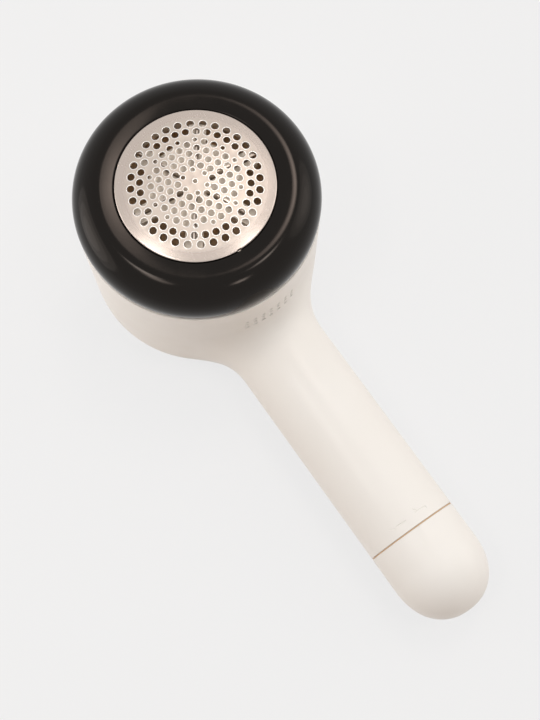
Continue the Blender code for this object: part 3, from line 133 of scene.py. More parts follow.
# Foil
DOME_APEX = 65.88  # leaves room for the rims under the solid
DOME_RADIUS = 95.0
FOIL_THICKNESS = 0.4
SHEET = 0.22  # the foil as it looks, thinner than its solid
FOIL_RADIUS = 22.2
FOIL_SKIRT_BOTTOM = 60.1
FOIL_FLANGE_RADIUS = 25.3
HOLE_LIP = 0.25  # width of the raised rim round each hole, which is polished and carries a painted highlight
HOLE_SIDES = 20
RIM_PROFILE = ((0.15, 0.015), (0.05, 0.012), (0.0, -0.04), (0.0, 0.08 - SHEET))
FOIL_EDGE = 0.25  # rounding where the dome turns into the skirt
FOIL_SIDES = 160
SUPPORT_CIRCLES = ((20.6, 120), (19.3, 120))  # radius and sides, to keep the border even
NOTCH_BOX = ((21.85, -0.6, 62.3), (22.9, 0.6, 64.5))
NOTCH_DEGREES = (-138.5, -2.2)
# width of the painted highlight round each hole
RIM_HIGHLIGHT_WIDTH = 0.2

# Foil's holes
CIRCLE_HOLES = 32
CIRCLE_TURN_DEG = 4.2
OUTER_CIRCLE = 17.6
OUTER_HOLE = 1.05
INNER_CIRCLE = 15.11
INNER_HOLE = 1.0
LATTICE_PITCH = 2.76
LATTICE_TURN_DEG = -22.5
LATTICE_STEPS = 6
LATTICE_INSIDE = 1.5  # in pitches, as are the next three
LATTICE_OUTSIDE = 4.4
INNER_DOTS = 1.25
OUTER_DOTS = 4.51
OUTER_DOT_DEG = 11.2  # on either side of a spoke
LATTICE_HOLE = 0.925
DOT_HOLE = 0.6

# End cap
CAP_START = 108.2
CAP_STRAIGHT_END = 119.3
CAP_ROUND_LENGTH = 16.4
CAP_ROUND_POWER = 2.2
CAP_END = 135.7
SPIGOT_START = 101.0
SPIGOT_RADIUS = 11.9
CAP_BORE = 10.0
CAP_STEPS = 40
CAP_MARK_BOX = ((CAP_START - 0.3, -1.15, 28.1), (CAP_START + 0.45, 0.25, 28.8))

# Batteries
CELL_START = 17.2
CELL_PITCH = 50.8
CELL_RADIUS = 7.25
CELL_BAND = 14.0  # length of the copper-coloured band
TUBE_INSIDE = 7.55
TUBE_OUTSIDE = 8.75

# Studio
BACKDROP = (0.863, 0.863, 0.863)
SKY_POWER = 0.98
SKY_LOW = (0.78, 0.72, 0.67)
SKY_TOP = (0.86, 0.865, 0.87)
SKY_SHADE = (0.15, 0.075, 0.03)
SKY_RISE = (0.25, 0.77)  # height of a direction, from the low tone to the top tone
SKY_BRIGHT_DEG = 145  # azimuth of the bright side
SKY_FADE = (-0.75, -0.1)  # from the shaded side to the bright side
FLOOR_HALF = 3000.0
FLOOR_DROP = -0.03
FLOOR_PAINT = (0.90, 0.85, 0.81)
FLOOR_GLOW = (0.856, 0.868, 0.878)
FLOOR_GLOW_SHARE = 0.82  # the rest shows the object's shadow
LAMP_NESTING = (0.55, 1.0, 1.5)
LAMP_STEP = 0.01  # distance between nested lamps, in metres
LAMP_AIM = 0.03  # point that the lamps look at, in metres
LAMPS = (
    # name, azimuth, elevation, width, height, radiance, colour, reach if not 1 m
    ("key", 127, 66, 0.24, 0.24, 7.7, (1.0, 0.90, 0.84)),
    ("over_right", 45, 69, 0.17, 0.17, 7.5, (1.0, 0.96, 0.93)),
    ("over_left", 257, 66, 0.22, 0.17, 8.0, (1.0, 0.96, 0.93)),
    ("low_right", 359, 50, 0.13, 0.10, 8.0, (1.0, 0.93, 0.88)),
    ("low_left", 279, 61.5, 0.20, 0.13, 4.6, (1.0, 0.93, 0.88)),
    ("right_side", 72, 30, 0.5, 0.6, 1.4, (1.0, 0.97, 0.94)),
    ("left_side", 240, 13, 0.66, 0.7, 2.05, (1.0, 0.97, 0.94), 0.33),
)
CAMERA_RIGHT = (0.57543, 0.81782, 0.00774)
CAMERA_UP = (-0.79380, 0.55620, 0.24600)
CAMERA_BACK = (0.19688, -0.14770, 0.96924)
CAMERA_PLACE = (0.11666, -0.06035, 0.38236)


def clear_start_up():
    """Remove the start-up cube, lamp and camera."""
    for name in ("Cube", "Light", "Camera"):
        thing = bpy.data.objects.get(name)
        if thing is not None:
            bpy.data.objects.remove(thing, do_unlink=True)


# Materials

def put(tree, socket, value):
    """Set an input to a plain value, or link an output to it."""
    if isinstance(value, bpy.types.NodeSocket):
        tree.links.new(value, socket)
    else:
        socket.default_value = value


def add_node(tree, kind, **values):
    """A shader node with some of its inputs set or linked."""
    made = tree.nodes.new(f"ShaderNode{kind}")
    for label, value in values.items():
        put(tree, made.inputs[label.replace("_", " ")], value)
    return made


def new_look(name, colour, roughness, **sockets):
    """A Principled material with its plain values set on the shader itself."""
    made = bpy.data.materials.new(name)
    made.use_nodes = True
    tree = made.node_tree
    shader = tree.nodes["Principled BSDF"]
    shader.inputs["Base Color"].default_value = (*colour, 1.0)
    shader.inputs["Roughness"].default_value = roughness
    for label, value in sockets.items():
        shader.inputs[label.replace("_", " ")].default_value = value
    return made, tree, shader


def place_coords(tree, stretch=(1, 1, 1)):
    """Object coordinates, stretched along each axis."""
    source = add_node(tree, "TexCoord").outputs["Object"]
    return add_node(tree, "Mapping", Vector=source, Scale=stretch).outputs["Vector"]


def noise(tree, place, per_metre, detail=3.0, rough=0.55):
    """Soft random patches, with so many to the metre."""
    made = add_node(tree, "TexNoise", Vector=place, Scale=per_metre, Detail=detail, Roughness=rough)
    return made.outputs["Fac"]


def remap(tree, source, low, high, start=0.35, end=0.65):
    """Spread a factor from one range into another."""
    made = add_node(tree, "MapRange", Value=source, From_Min=start, From_Max=end, To_Min=low, To_Max=high)
    return made.outputs["Result"]


def patches(tree, place, per_metre):
    """Faint clouds or stains, from 0 to 1."""
    return remap(tree, noise(tree, place, per_metre, detail=4.0), 0.0, 1.0)


def combine_math(tree, operation, a, b):
    """Sum, product or the like of two values, each a number or a socket."""
    made = add_node(tree, "Math")
    made.operation = operation
    for socket, value in zip(made.inputs, (a, b)):
        put(tree, socket, value)
    return made.outputs[0]


def mix_colour(tree, factor, colour_a, colour_b):
    """Mix two colours, each a triple or a socket."""
    made = add_node(tree, "Mix")
    made.data_type = "RGBA"
    put(tree, made.inputs[0], factor)
    for socket, value in ((made.inputs[6], colour_a), (made.inputs[7], colour_b)):
        put(tree, socket, (*value, 1.0) if isinstance(value, tuple) else value)
    return made.outputs[2]


def set_bump(tree, shader, height, strength, distance_mm):
    """Let a height pattern disturb the shader's normal."""
    made = add_node(tree, "Bump", Strength=strength, Distance=distance_mm * MM, Height=height)
    tree.links.new(made.outputs["Normal"], shader.inputs["Normal"])


def length_of(tree, vector):
    """The length of a vector socket."""
    made = add_node(tree, "VectorMath", Vector=vector)
    made.operation = "LENGTH"
    return made.outputs["Value"]


def axis_of(tree, vector, axis):
    """One axis of a vector socket."""
    return add_node(tree, "SeparateXYZ", Vector=vector).outputs[axis]


def plastic(name, colour, shade, roughness, spread=0.08, grain=0.05):
    """Moulded plastic: faint cloudiness, uneven gloss and a fine spark-eroded grain."""
    made, tree, shader = new_look(name, colour, roughness)
    place = place_coords(tree)
    cloud = patches(tree, place, per_metre=22.0)
    tree.links.new(mix_colour(tree, cloud, colour, shade), shader.inputs["Base Color"])
    wipe = noise(tree, place_coords(tree, (0.35, 1.0, 1.0)), per_metre=160.0, detail=5.0, rough=0.6)
    tree.links.new(remap(tree, wipe, roughness - spread, roughness + spread), shader.inputs["Roughness"])
    set_bump(tree, shader, noise(tree, place, per_metre=2600.0, detail=2.0), grain, distance_mm=0.05)
    return made


def metal(name, colour, shade, roughness, stretch=(1, 1, 1)):
    """Bare metal with faint stains and a fine grain."""
    spread = 0.06
    grain = 0.08
    made, tree, shader = new_look(name, colour, roughness, Metallic=1.0)
    stain = patches(tree, place_coords(tree), per_metre=70.0)
    tree.links.new(mix_colour(tree, stain, colour, shade), shader.inputs["Base Color"])
    grain_place = place_coords(tree, stretch)
    rub = noise(tree, grain_place, per_metre=900.0, detail=4.0, rough=0.6)
    tree.links.new(remap(tree, rub, roughness - spread, roughness + spread), shader.inputs["Roughness"])
    set_bump(tree, shader, rub, grain, distance_mm=0.03)
    return made


def black_gloss():
    """Polished black plastic with a few dust specks and a thin uneven film."""
    black = (0.0008, 0.0007, 0.0006)
    made, tree, shader = new_look("black_gloss_fine", black, 0.09)
    shader.inputs["Specular Tint"].default_value = (1.0, 0.88, 0.80, 1.0)
    shader.inputs["Specular IOR Level"].default_value = 0.26
    place = place_coords(tree)
    dust = remap(tree, noise(tree, place, per_metre=1500.0, detail=2.0), 0.0, 1.0, 0.78, 0.84)
    tree.links.new(mix_colour(tree, dust, black, (0.05, 0.045, 0.04)), shader.inputs["Base Color"])
    film = remap(tree, noise(tree, place, per_metre=90.0, detail=5.0, rough=0.6), 0.09, 0.15)
    dull = combine_math(tree, "ADD", film, remap(tree, dust, 0.0, 0.4, 0.0, 1.0))
    tree.links.new(dull, shader.inputs["Roughness"])
    set_bump(tree, shader, noise(tree, place, per_metre=240.0, detail=2.0), 0.02, distance_mm=0.05)
    return made


def foil_steel():
    """Satin steel with fine scratches, a smoother border painted a little lighter, a painted highlight round
    the holes, and an underside painted lighter.
    """
    made, tree, shader = new_look("foil_steel_fine", (0.80, 0.74, 0.67), 0.42, Metallic=1.0)
    place = place_coords(tree)
    stain = patches(tree, place, per_metre=60.0)
    mark = add_node(tree, "Attribute")
    mark.attribute_name = "polish_and_painted_light"
    polish_and_painted_light = mark.outputs["Fac"]
    scratch = noise(tree, place_coords(tree, (0.12, 1.0, 1.0)), per_metre=3200.0, detail=4.0, rough=0.65)
    reach = length_of(tree, place_coords(tree, (1, 1, 0)))
    border = remap(tree, reach, 0.0, 1.0, 18.4 * MM, 19.8 * MM)
    worn = combine_math(tree, "SUBTRACT", remap(tree, scratch, 0.42, 0.47),
                        combine_math(tree, "MULTIPLY", border, 0.195))
    # Towards the border the steel is painted a little lighter, a painted highlight, as well as made smoother.
    satin = mix_colour(tree, stain, (0.60, 0.53, 0.465), (0.56, 0.48, 0.42))
    skin = mix_colour(tree, border, satin, (0.62, 0.53, 0.47))
    # Painted highlight: round the holes and on the underside the colour turns almost white, and the roughness
    # drops.
    tree.links.new(mix_colour(tree, polish_and_painted_light, skin, (0.95, 0.92, 0.88)), shader.inputs["Base Color"])
    gloss = combine_math(tree, "SUBTRACT", worn, combine_math(tree, "MULTIPLY", polish_and_painted_light, 0.1))
    tree.links.new(gloss, shader.inputs["Roughness"])
    set_bump(tree, shader, scratch, 0.02, distance_mm=0.02)
    return made


def battery_jacket():
    """Printed steel jacket with a copper-coloured band at the start of each cell."""
    made, tree, shader = new_look("battery_jacket_fine", (0.30, 0.32, 0.34), 0.3, Metallic=0.7)
    place = place_coords(tree)
    along = combine_math(tree, "SUBTRACT", axis_of(tree, place, "X"), CELL_START * MM)
    along = combine_math(tree, "MODULO", along, CELL_PITCH * MM)
    band = remap(tree, along, 0.0, 1.0, CELL_BAND * MM, (CELL_BAND + 0.1) * MM)
    stain = patches(tree, place, per_metre=200.0)
    copper = mix_colour(tree, stain, (0.52, 0.28, 0.12), (0.44, 0.22, 0.10))
    dark = mix_colour(tree, stain, (0.035, 0.037, 0.04), (0.05, 0.05, 0.055))
    tree.links.new(mix_colour(tree, band, copper, dark), shader.inputs["Base Color"])
    tree.links.new(remap(tree, stain, 0.25, 0.38, 0.0, 1.0), shader.inputs["Roughness"])
    set_bump(tree, shader, noise(tree, place, per_metre=1200.0, detail=2.0), 0.05, distance_mm=0.03)
    return made


def make_looks():
    """One material for each slot of the CAD's record."""
    looks = {"black_gloss": black_gloss(), "foil_steel": foil_steel(), "battery_jacket": battery_jacket()}
    plastics = (
        # slot, colour, shade, roughness, spread of the roughness, grain
        ("cream_plastic", (0.855, 0.845, 0.815), (0.84, 0.825, 0.79), 0.42, 0.08, 0.05),
        # grey_plastic and brown_plastic sit inside the shaver and are painted much lighter than their own
        # tone, to stand in for the light that hardly reaches them.
        ("grey_plastic", (0.96, 0.87, 0.76), (0.94, 0.84, 0.72), 0.45, 0.08, 0.1),
        ("brown_plastic", (0.90, 0.68, 0.46), (0.86, 0.62, 0.40), 0.4, 0.08, 0.05),
        ("dark_plastic", (0.04, 0.04, 0.042), (0.055, 0.052, 0.05), 0.5, 0.08, 0.1),
        ("seal_rubber", (0.66, 0.46, 0.29), (0.60, 0.41, 0.25), 0.68, 0.1, 0.15),
        ("red_wire", (0.42, 0.03, 0.02), (0.34, 0.02, 0.015), 0.5, 0.1, 0.1),
        ("black_wire", (0.02, 0.02, 0.02), (0.035, 0.033, 0.03), 0.5, 0.1, 0.1),
    )
    for slot, *values in plastics:
        looks[slot] = plastic(f"{slot}_fine", *values)
    metals = (
        # slot, colour, shade, roughness, stretch of the grain
        ("blade_steel", (0.56, 0.49, 0.43), (0.45, 0.39, 0.34), 0.34, (1, 1, 6)),
        ("spring_steel", (0.62, 0.61, 0.60), (0.52, 0.51, 0.50), 0.28, (1, 1, 1)),
        ("motor_steel", (0.55, 0.55, 0.56), (0.46, 0.46, 0.47), 0.32, (1, 1, 9)),
        ("contact_brass", (0.68, 0.50, 0.22), (0.52, 0.36, 0.15), 0.33, (1, 1, 1)),
    )
    for slot, *values in metals:
        looks[slot] = metal(f"{slot}_fine", *values)
    return looks


# Mesh helpers

def on_z(radius, angle, height):
    """A point about the head's axis."""
    return Vector((radius * math.cos(angle), radius * math.sin(angle), height))


def on_x(radius, angle, height):
    """A point about the handle's axis, with height as x."""
    return Vector((height, radius * math.cos(angle), AXIS_Z + radius * math.sin(angle)))


def arc(centre_r, centre_h, radius, start_deg, end_deg, steps):
    """Points along an arc in a turned profile, as (radius, height)."""
    points = []
    for i in range(steps + 1):
        angle = math.radians(start_deg + (end_deg - start_deg) * i / steps)
        points.append((centre_r + radius * math.cos(angle), centre_h + radius * math.sin(angle)))
    return points


def bend(start, corner, end, steps):
    """Points of a smooth bend, as profile points that are rounded no further."""
    points = []
    for k in range(steps + 1):
        t = k / steps
        shares = ((1 - t) ** 2, 2 * t * (1 - t), t * t)
        spot = [sum(w * p[i] for w, p in zip(shares, (start, corner, end))) for i in range(2)]
        points.append((*spot, 0))
    return points


def rod(radius, low, high):
    """The profile of a solid rod."""
    return [(0, low), (radius, low), (radius, high), (0, high)]


def soften(profile, size, steps=4):
    """Round the corners of a closed profile; a third value gives a corner its own rounding."""
    points = []
    for i, corner in enumerate(profile):
        here = Vector(corner[:2])
        back = Vector(profile[i - 1][:2]) - here
        ahead = Vector(profile[(i + 1) % len(profile)][:2]) - here
        own = corner[2] if len(corner) == 3 else size
        turn = math.pi - back.angle(ahead)
        if here.x < ON_AXIS or own == 0 or turn < math.radians(9):
            points.append(tuple(here))
            continue
        reach = min(own * math.tan(turn / 2), 0.45 * back.length, 0.45 * ahead.length)
        start = here + back.normalized() * reach
        end = here + ahead.normalized() * reach
        for k in range(steps + 1):
            t = k / steps
            points.append(tuple((1 - t) ** 2 * start + 2 * t * (1 - t) * here + t * t * end))
    return points


def add_turned(bm, profile, segments, place=on_z, offset=(0, 0, 0), phase=0.0):
    """Turn a closed profile of (radius, height) points; a radius of 0 lies on the axis."""
    rings = []
    for radius, height in profile:
        if radius < ON_AXIS:
            rings.append([bm.verts.new(place(0, 0, height) + Vector(offset))])
            continue
        turns = [2 * math.pi * (k + phase) / segments for k in range(segments)]
        rings.append([bm.verts.new(place(radius, turn, height) + Vector(offset)) for turn in turns])
    for i, ring in enumerate(rings):
        following = rings[(i + 1) % len(rings)]
        if len(ring) == 1 and len(following) == 1:
            continue
        for k in range(segments):
            corners = [ring[k % len(ring)], ring[(k + 1) % len(ring)],
                       following[(k + 1) % len(following)], following[k % len(following)]]
            bm.faces.new(list(dict.fromkeys(corners)))


def add_sector(bm, inner, outer, low, high, start_deg, end_deg, place=on_z, steps=12):
    """A slice of a ring between two angles, closed at both ends."""
    sections = []
    for i in range(steps + 1):
        angle = math.radians(start_deg + (end_deg - start_deg) * i / steps)
        corners = ((inner, low), (outer, low), (outer, high), (inner, high))
        sections.append([bm.verts.new(place(radius, angle, height)) for radius, height in corners])
    for before, after in zip(sections, sections[1:]):
        for k in range(4):
            bm.faces.new((before[k], before[(k + 1) % 4], after[(k + 1) % 4], after[k]))
    bm.faces.new(sections[0])
    bm.faces.new(list(reversed(sections[-1])))


def add_sectors(bm, count, section, start_deg, end_deg, place=on_z, steps=12):
    """Like slices, spread evenly about the axis; a section is inner, outer, low, high."""
    for turn in range(0, 360, 360 // count):
        add_sector(bm, *section, turn + start_deg, turn + end_deg, place, steps)


def add_box(bm, low, high, turn_deg=0.0):
    """A box between two corners, turned about the head's axis."""
    made = bmesh.ops.create_cube(bm, size=1.0)["verts"]
    size = Vector(high) - Vector(low)
    middle = (Vector(high) + Vector(low)) / 2
    for vert in made:
        vert.co = Vector((vert.co.x * size.x, vert.co.y * size.y, vert.co.z * size.z)) + middle
    bmesh.ops.rotate(bm, verts=made, cent=(0, 0, 0), matrix=Matrix.Rotation(math.radians(turn_deg), 3, "Z"))


def new_object(name, data):
    """An object in the scene."""
    thing = bpy.data.objects.new(name, data)
    bpy.context.scene.collection.objects.link(thing)
    return thing


def make_object(name, bm):
    """Turn a bmesh in millimetres into an object in metres."""
    bmesh.ops.recalc_face_normals(bm, faces=bm.faces)
    bmesh.ops.scale(bm, vec=(MM, MM, MM), verts=bm.verts)
    mesh = bpy.data.meshes.new(name)
    bm.to_mesh(mesh)
    bm.free()
    mesh.shade_smooth()
    mesh.set_sharp_from_angle(angle=math.radians(SMOOTH_DEG))
    return new_object(name, mesh)


def box_tool(name, corners):
    """A box between two corners, as a cutter or an addition."""
    bm = bmesh.new()
    add_box(bm, *corners)
    return make_object(name, bm)


def carve(target, tool, operation="DIFFERENCE"):
    """Apply an exact Boolean at once and remove its tool."""
    modifier = target.modifiers.new("carve", "BOOLEAN")
    modifier.operation = operation
    modifier.solver = "EXACT"
    modifier.object = tool
    settle(target)
    bpy.data.objects.remove(tool, do_unlink=True)


def settle(target):
    """Replace an object's mesh by what its modifiers make of it."""
    graph = bpy.context.evaluated_depsgraph_get()
    made = bpy.data.meshes.new_from_object(target.evaluated_get(graph))
    target.modifiers.clear()
    old = target.data
    target.data = made
    bpy.data.meshes.remove(old)


def finish_piece(thing, slot, body, *nodes, smooth_deg=SMOOTH_DEG):
    """Give a new piece its look, its body and the CAD nodes that it stands for."""
    thing.data.materials.clear()
    thing.data.materials.append(LOOKS[slot])
    thing.data.shade_smooth()
    thing.data.set_sharp_from_angle(angle=math.radians(smooth_deg))
    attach(thing, body)
    if nodes:
        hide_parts(*nodes)
    return thing


def turned_object(name, profile, segments, place=on_z):
    """A turned solid."""
    bm = bmesh.new()
    add_turned(bm, profile, segments, place)
    return make_object(name, bm)


def turned_piece(name, profile, slot, body, node, segments=128, place=on_z):
    """A turned piece that stands for one CAD node."""
    finish_piece(turned_object(name, profile, segments, place), slot, body, node)


# Body

def body_distance(p):
    """Signed distance, in mm, to the outside of drum and handle, smoothly blended."""
    x, y, z = p
    side = np.hypot(x, y) - (DRUM_RADIUS - BACK_ROUND)
    down = BACK_ROUND - z
    outside = np.hypot(np.maximum(side, 0), np.maximum(down, 0))
    drum = outside + np.minimum(np.maximum(side, down), 0) - BACK_ROUND
    inward = np.minimum(x - 10.0, 0)
    reach = np.sqrt(y ** 2 + (z - AXIS_Z) ** 2 + inward ** 2)
    handle = reach - HANDLE_RADIUS
    sideways = np.abs(y) / np.maximum(reach, 1.0)
    height = np.clip(z / 7.0, 0, 1)
    blend = (BLEND + BLEND_SIDE * sideways) * height * height * (3 - 2 * height) + 0.05
    near = np.maximum(blend - np.abs(drum - handle), 0) / blend
    return np.minimum(drum, handle) - near * near * blend / 4


def body_outside():
    """The blended outside of the body as a mesh whose points lie on the true surface."""
    low = np.array([-38.0, -38.0, -3.0])
    counts = [int(round(span / VOXEL)) + 1 for span in (150.0, 76.0, 62.0)]
    axes = [low[i] + VOXEL * np.arange(counts[i]) for i in range(3)]
    grid_points = np.meshgrid(*axes, indexing="ij")
    field = body_distance(grid_points)
    above = grid_points[2] - 57.0
    beyond = grid_points[0] - 111.0
    field = np.maximum(np.maximum(field, above), beyond)
    grid = openvdb.FloatGrid(3 * VOXEL)
    grid.copyFromArray(np.clip(field, -3 * VOXEL, 3 * VOXEL).astype(np.float32))
    points, quads = grid.convertToQuads(0.0)
    points = low[:, None] + VOXEL * points.astype(np.float64).T
    inside = (points[2] < 56.0) & (points[0] < 110.0)
    for _ in range(SETTLE_ROUNDS):
        value = body_distance(points)
        slope = []
        for axis in range(3):
            step = np.zeros((3, 1))
            step[axis] = NORMAL_STEP
            change = body_distance(points + step) - body_distance(points - step)
            slope.append(change / (2 * NORMAL_STEP))
        slope = np.array(slope)
        shift = value * slope / np.maximum((slope ** 2).sum(axis=0), 0.05)
        points = points - np.where(inside, shift, 0.0)
    points[2] = np.maximum(points[2], 0.0)
    bm = bmesh.new()
    verts = [bm.verts.new(co) for co in points.T]
    for quad in quads:
        bm.faces.new([verts[i] for i in quad])
    bmesh.ops.dissolve_degenerate(bm, dist=1e-4, edges=bm.edges)
    return make_object("body_shell_fine", bm)


def screw_spots():
    """Where the motor mount's screws stand, as (x, y)."""
    angles = [math.radians(60 + 120 * i) for i in range(SCREWS)]
    return [(SCREW_CIRCLE * math.cos(a), SCREW_CIRCLE * math.sin(a)) for a in angles]


def head_tool():
    """Everything that is cut about the head's axis: shoulder, lint chamber, ledge and motor room."""
    bm = bmesh.new()
    inner = DRUM_RADIUS - DRUM_WALL
    corner = BACK_ROUND - DRUM_WALL
    room = [(0, DRUM_WALL)] + arc(inner - corner, BACK_ROUND, corner, -90, 0, 8)
    room += [(inner, LEDGE_TOP - LEDGE_THICKNESS), (LEDGE_RADIUS, LEDGE_TOP - LEDGE_THICKNESS)]
    room += [(LEDGE_RADIUS, LEDGE_TOP), (CHAMBER_RADIUS, LEDGE_TOP), (CHAMBER_RADIUS, COLLAR_TOP - EDGE)]
    room += [(CHAMBER_RADIUS + EDGE, COLLAR_TOP), (CHAMBER_RADIUS + EDGE, 60.0), (0, 60.0)]
    add_turned(bm, room, 128, phase=0.5)
    outer = DRUM_RADIUS
    shoulder = [(COLLAR_RADIUS, DRUM_TOP), (outer - EDGE, DRUM_TOP)]
    shoulder += arc(outer - EDGE, DRUM_TOP - EDGE, EDGE, 75, 0, 4)
    shoulder += [(outer + 0.5, DRUM_TOP - EDGE - 0.1), (outer + 12.0, DRUM_TOP), (outer + 12.0, 60.0)]
    shoulder += [(CHAMBER_RADIUS + EDGE + 0.4, 60.0), (CHAMBER_RADIUS + EDGE + 0.4, COLLAR_TOP)]
    shoulder += [(COLLAR_RADIUS - EDGE, COLLAR_TOP), (COLLAR_RADIUS, COLLAR_TOP - EDGE)]
    add_turned(bm, shoulder, 128, phase=0.5)
    return make_object("head_tool", bm)


def handle_tool():
    """The handle's bore and its rounded end at the seam."""
    bm = bmesh.new()
    profile = [(0, BORE_START), (BORE_RADIUS, BORE_START), (BORE_RADIUS, SEAM_X - 0.25)]
    profile += [(BORE_RADIUS + 0.25, SEAM_X), (HANDLE_RADIUS - SEAM_EDGE, SEAM_X)]
    profile += arc(HANDLE_RADIUS - SEAM_EDGE, SEAM_X - SEAM_EDGE, SEAM_EDGE, 75, 0, 4)
    profile += [(HANDLE_RADIUS + 0.6, SEAM_X - SEAM_EDGE - 0.1), (HANDLE_RADIUS + 2.0, 115.0), (0, 115.0)]
    add_turned(bm, profile, 128, on_x, phase=0.5)
    return make_object("handle_tool", bm)


def add_groove(bm, path, radius, sides=6):
    """A thin round bar along a path on the handle's surface, as a cutter."""
    rings = []
    for i, point in enumerate(path):
        point = Vector(point)
        ahead = (Vector(path[min(i + 1, len(path) - 1)]) - Vector(path[max(i - 1, 0)])).normalized()
        up = Vector((0, point.y, point.z - AXIS_Z)).normalized()
        across = ahead.cross(up).normalized()
        turns = [2 * math.pi * k / sides for k in range(sides)]
        rim = [across * math.cos(t) + up * math.sin(t) for t in turns]
        rings.append([bm.verts.new(point + outward * radius) for outward in rim])
    for before, after in zip(rings, rings[1:]):
        for k in range(sides):
            bm.faces.new((before[k], before[(k + 1) % sides], after[(k + 1) % sides], after[k]))
    bm.faces.new(rings[0])
    bm.faces.new(list(reversed(rings[-1])))


def on_handle(x, y):
    """A point of the handle's upper surface."""
    return (x, y, AXIS_Z + math.sqrt(HANDLE_RADIUS ** 2 - y ** 2))


def groove_path(start, end, steps=8):
    """Points of a line on the handle's upper surface."""
    points = []
    for i in range(steps + 1):
        share = i / steps
        spot = [a + (b - a) * share for a, b in zip(start, end)]
        points.append(on_handle(*spot))
    return points


def add_vents(bm):
    """Rows of wide holes through the wall above the neck."""
    for column in range(VENT_COLUMNS):
        angle = math.radians(VENT_TURN_DEG + VENT_PITCH_DEG * (column - VENT_COLUMNS // 2))
        turn = Matrix.Rotation(angle, 3, "Z") @ Matrix.Rotation(math.pi / 2, 3, "Y")
        for row in range(VENT_ROWS):
            start = len(bm.verts)
            add_turned(bm, rod(VENT_HALF_HEIGHT, 30.5, 37.0), 20)
            bm.verts.ensure_lookup_table()
            made = bm.verts[start:]
            bmesh.ops.scale(bm, verts=made, vec=(1.0, VENT_WIDENING, 1.0))
            bmesh.ops.rotate(bm, verts=made, cent=(0, 0, 0), matrix=turn)
            bmesh.ops.translate(bm, verts=made, vec=(0, 0, VENT_LOWEST + VENT_ROW_STEP * row))


def small_tools():
    """Vents, lock slots, screw pilots and the switch's window."""
    bm = bmesh.new()
    add_vents(bm)
    slot = (CHAMBER_RADIUS - 2.2, COLLAR_RADIUS + GAP, RING_BOTTOM, COLLAR_TOP + 1.0)
    add_sectors(bm, RING_LUGS, slot, SLOT_START_DEG, SLOT_END_DEG)
    slot = (BORE_RADIUS - 1.0, BORE_RADIUS + 1.0, SPIGOT_START + SIDE_PLAY, SEAM_X + 2.2)
    add_sectors(bm, CAP_LUGS, slot, SLOT_START_DEG, SLOT_END_DEG, on_x)
    for x, y in screw_spots():
        add_turned(bm, rod(PILOT_RADIUS, 32.85, 41.3), 20, offset=(x, y, 0))
    add_box(bm, *SWITCH_WINDOW)
    return make_object("small_tools", bm)


def arrow_tool(lines):
    """Thin bars along the arrows' lines, as a cutter."""
    bm = bmesh.new()
    for start, end in lines:
        add_groove(bm, groove_path(start, end), ARROW_HALF_WIDTH)
    return make_object("arrow_tool", bm)


def body_shell():
    """Drum and handle in one moulding."""
    shell = body_outside()
    carve(shell, head_tool())
    carve(shell, handle_tool())
    bm = bmesh.new()
    for x, y in screw_spots():
        add_turned(bm, rod(BOSS_RADIUS, 31.0, 40.0), 28, offset=(x, y, 0), phase=0.3)
    carve(shell, make_object("bosses", bm), "UNION")
    bm = bmesh.new()
    add_sector(bm, DRUM_RADIUS - DRUM_WALL - 1.0, DRUM_RADIUS - VENT_SKIN, *VENT_POCKET_HEIGHTS,
               *VENT_POCKET_DEGREES)
    carve(shell, make_object("vent_pocket", bm))
    carve(shell, small_tools())
    carve(shell, arrow_tool(ARROW_LINES))
    carve(shell, arrow_tool(ARROW_CORNERS))
    carve(shell, box_tool("switch_pocket", SWITCH_POCKET))
    finish_piece(shell, "cream_plastic", "housing", "body_shell")


# Head

def dome_height(radius):
    """Height of the foil's outer surface."""
    return DOME_APEX - DOME_RADIUS + math.sqrt(DOME_RADIUS ** 2 - radius ** 2)


def polar(radius, degrees):
    """A point (x, y) about the head's axis."""
    angle = math.radians(degrees)
    return (radius * math.cos(angle), radius * math.sin(angle))


def foil_holes():
    """Every hole of the foil, as rows of x, y and radius."""
    step = 360.0 / CIRCLE_HOLES
    holes = []
    for i in range(CIRCLE_HOLES):
        holes.append((*polar(OUTER_CIRCLE, CIRCLE_TURN_DEG + step * i), OUTER_HOLE))
        holes.append((*polar(INNER_CIRCLE, CIRCLE_TURN_DEG + step * (i + 0.5)), INNER_HOLE))
    along = Vector(polar(LATTICE_PITCH, LATTICE_TURN_DEG))
    slant = Vector(polar(LATTICE_PITCH, LATTICE_TURN_DEG + 60))
    for i in range(-LATTICE_STEPS, LATTICE_STEPS + 1):
        for j in range(-LATTICE_STEPS, LATTICE_STEPS + 1):
            spot = along * i + slant * j
            if LATTICE_INSIDE * LATTICE_PITCH < spot.length < LATTICE_OUTSIDE * LATTICE_PITCH:
                holes.append((spot.x, spot.y, LATTICE_HOLE))
    for i in range(6):
        spoke = LATTICE_TURN_DEG + 60.0 * i
        holes.append((*polar(INNER_DOTS * LATTICE_PITCH, spoke), DOT_HOLE))
        holes.append((*polar(OUTER_DOTS * LATTICE_PITCH, spoke - OUTER_DOT_DEG), DOT_HOLE))
        holes.append((*polar(OUTER_DOTS * LATTICE_PITCH, spoke + OUTER_DOT_DEG), DOT_HOLE))
    holes.append((0.0, 0.0, DOT_HOLE))
    return np.array(holes)


